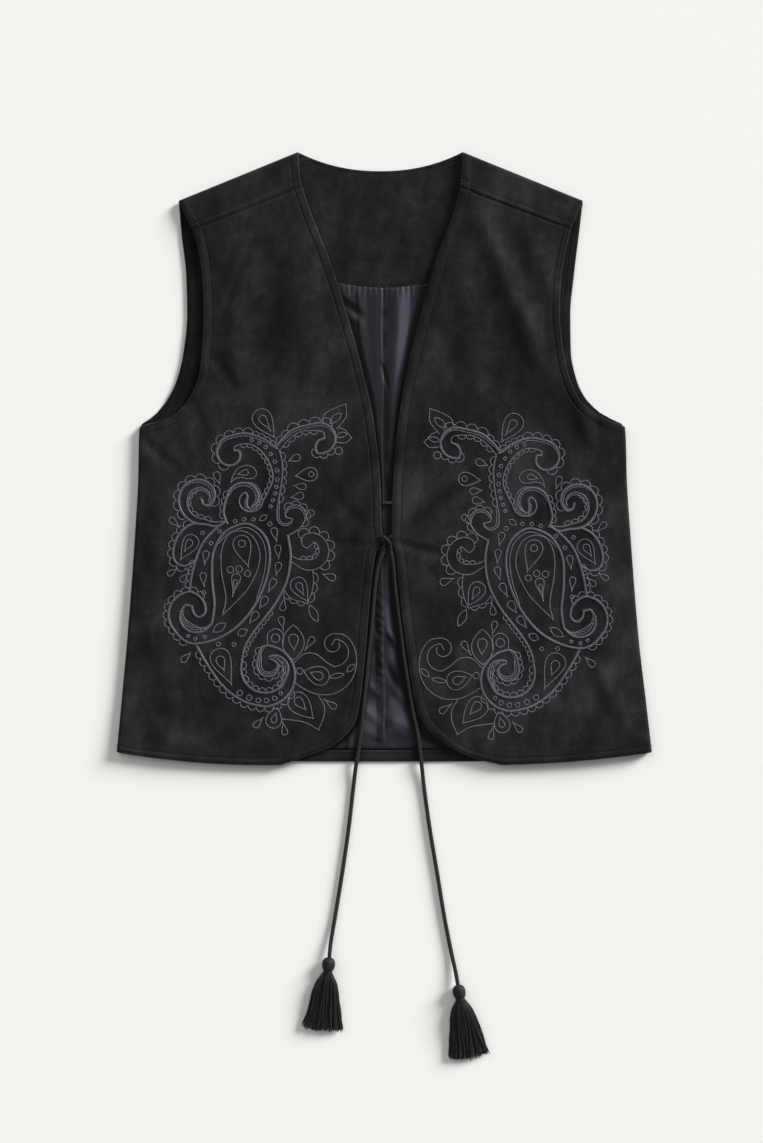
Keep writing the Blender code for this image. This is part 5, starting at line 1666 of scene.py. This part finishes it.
# Columns: share of the skirt's length, half width, half thickness, height of the middle.
SKIRT_WIDTHS = (
    (0.0, 3.6, 3.4, 6.0), (0.05, 4.6, 4.2, 6.0), (0.10, 7.0, 5.0, 5.9), (0.22, 10.2, 5.2, 5.8),
    (0.38, 12.6, 4.8, 5.4), (0.6, 14.4, 4.0, 4.7), (0.8, 15.8, 3.4, 4.1), (1.0, 17.8, 2.9, 3.6),
)
STRANDS, STRAND_SEEDS = 260, {"left": 11, "right": 23}
YARN_RADIUS, YARN_SIDES, YARN_COLOUR = 0.6, 6, (0.0068, 0.0064, 0.0074)
SKIRT_START = 14.2
BINDING_START, BINDING_LENGTH, BINDING_TURNS, BINDING_RADIUS = 13.9, 3.1, 5, 0.48


def tassel_frame(side):
    """A tassel's start, the direction it lies in, the direction across it on the table, and its length."""
    start, end = (np.array(point, float) for point in TASSEL_LINES[side])
    way = unit(end - start)
    return start, way, -square_to(way), np.linalg.norm(end - start)


def on_tassel(side, along, across_it, height):
    """Points of the tassel's own frame set in the scene's."""
    start, way, aside, _ = tassel_frame(side)
    flat = start + np.asarray(along)[..., None] * way + np.asarray(across_it)[..., None] * aside
    return np.concatenate([flat, np.asarray(height)[..., None] * np.ones(flat.shape[:-1] + (1,))], axis=-1)


def bound_section(along):
    """Half width, half height and height of the middle of the bound head, at distances from the cord's
    end."""
    table = np.array(TASSEL_SECTIONS).T
    return (through(table[0], column, along) for column in table[1:])


def tassel_head(side, material):
    """The bound head: yarn laid lengthways over a round core, its ridges twisting slightly."""
    rows, columns = 40, 120
    along = np.linspace(0, TASSEL_SECTIONS[-1][0], rows)[:, None]
    width, height, level = bound_section(along)
    angle = np.arange(columns) * 2 * math.pi / columns
    ridge = 1 + 0.045 * np.abs(np.cos(15 * angle[None] + along / 9))
    across_it, over_it = width * ridge * np.cos(angle), level + height * ridge * np.sin(angle)
    points = on_tassel(side, along * np.ones(columns), across_it, over_it) * MM
    flat = np.concatenate([points.reshape(-1, 3), points[[0, -1]].mean(axis=1)])
    made = make_mesh(f"tassel_head_{side}", flat, grid_faces(rows, columns, wrap=True), material)
    ring, foot = np.arange(columns), (rows - 1) * columns
    after = np.roll(ring, -1)
    return close_caps(made, [(len(flat) - 2, after, ring), (len(flat) - 1, ring + foot, after + foot)])


def tube_arrays(paths, radius):
    """Points and faces of many six-sided tubes at once, from paths of shape (tubes, rings, 3), narrow at
    their ends."""
    count, rings = paths.shape[:2]
    size = radius * np.where(np.arange(rings) % (rings - 1) == 0, 0.55, 1.0)
    points = rings_round(paths, size, YARN_SIDES)
    caps = np.array([[0, 1, 4, 5], [1, 2, 3, 4]])
    foot = (rings - 1) * YARN_SIDES
    one = np.concatenate([grid_faces(rings, YARN_SIDES, wrap=True), caps, caps[:, ::-1] + foot])
    return points.reshape(-1, 3), repeated(one, count, rings * YARN_SIDES)


def tassel_skirt(side):
    """Strands from the neck to the cut ends. Half the skirt's width at each share of its length is read
    from SKIRT_WIDTHS, and each strand keeps its own place across it and sinks from the neck to its own
    layer."""
    chance = np.random.default_rng(STRAND_SEEDS[side])
    length = tassel_frame(side)[-1]
    place = np.sin(np.linspace(-math.pi / 2, math.pi / 2, STRANDS)) * 0.55
    place = place + np.linspace(-1, 1, STRANDS) * 0.45 + chance.normal(0, 0.035, STRANDS)
    layer = chance.permutation(STRANDS) / STRANDS
    t = np.linspace(0, 1, 14)
    table = np.array(SKIRT_WIDTHS).T
    half, thick, middle = (np.interp(t, table[0], column) for column in table[1:])
    stray = chance.normal(0, 1, STRANDS)[:, None] * 1.8 * t**2.5
    bend = chance.normal(0, 0.9, STRANDS)[:, None]
    bend = bend * np.sin(math.pi * t * chance.uniform(0.9, 2.2, STRANDS)[:, None])
    end = length - 1.6 * place**2 + chance.normal(0, 1.2, STRANDS) - chance.exponential(1.2, STRANDS)
    along = SKIRT_START + (end[:, None] - SKIRT_START) * t
    across_it = place[:, None] * half + stray + bend * t
    round_share = np.sqrt(np.maximum(1 - (place * 0.97) ** 2, 0.05))
    level = middle + thick * (round_share * (2 * layer - 1))[:, None] + 0.35 * bend * t
    level = np.maximum(level, YARN_RADIUS + 0.05)
    return tube_arrays(on_tassel(side, along, across_it, level), YARN_RADIUS)


def neck_binding(side, material):
    """Turns of the same yarn wound round the neck."""
    turn = np.linspace(0, BINDING_TURNS * 2 * math.pi, 240)
    along = BINDING_START + BINDING_LENGTH * turn / turn[-1]
    width, height, level = bound_section(along)
    path = on_tassel(side, along, (width + 0.25) * np.cos(turn), level + (height + 0.25) * np.sin(turn))
    return cord_piece(f"tassel_binding_{side}", path * MM, BINDING_RADIUS * MM, 8, material)


def yarn_material(name):
    """Soft black yarn with a fine fuzz."""
    sheen = dict(Sheen_Weight=0.06, Sheen_Roughness=0.5)
    made = shader_material(name, Roughness=0.62, Specular_IOR_Level=0.28, **sheen)
    nodes = Nodes(made)
    fuzz = nodes.noise(240.0, 3.0)
    nodes.paint(YARN_COLOUR, nodes.remap(fuzz, 0.3, 0.7, 0.7, 1.35))
    nodes.roughen(fuzz, strength=0.4, depth=0.2)
    return made


yarn_black = yarn_material("tassel_yarn_black")
tassels = {}
for side in SIDES:
    head = tassel_head(side, yarn_black)
    binding = neck_binding(side, yarn_black)
    skirt = thread_piece(f"tassel_skirt_{side}", [tassel_skirt(side)], yarn_black)
    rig.replaces(skirt, f"tassel_{side}")
    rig.slot(skirt, "tassel_yarn")
    tassels[side] = [placed(head, "tassel_yarn"), placed(binding, "tassel_yarn"), skirt]
for side, (start, length) in TIE_ENDS.items():
    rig.cord(
        ties[side],
        exit=start,
        length=length,
        diameter=CORD_DIAMETER,
        far_end="fitting",
        stiffness="limp",
        lay="loose",
        path=tie_paths[side].tolist(),
        with_pieces=tassels[side],
    )

model_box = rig.bounds()
with open("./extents.json", "w") as out:
    boxes = {"cad": cad_box, "model": model_box}
    json.dump({name: [list(corner) for corner in box] for name, box in boxes.items()}, out)
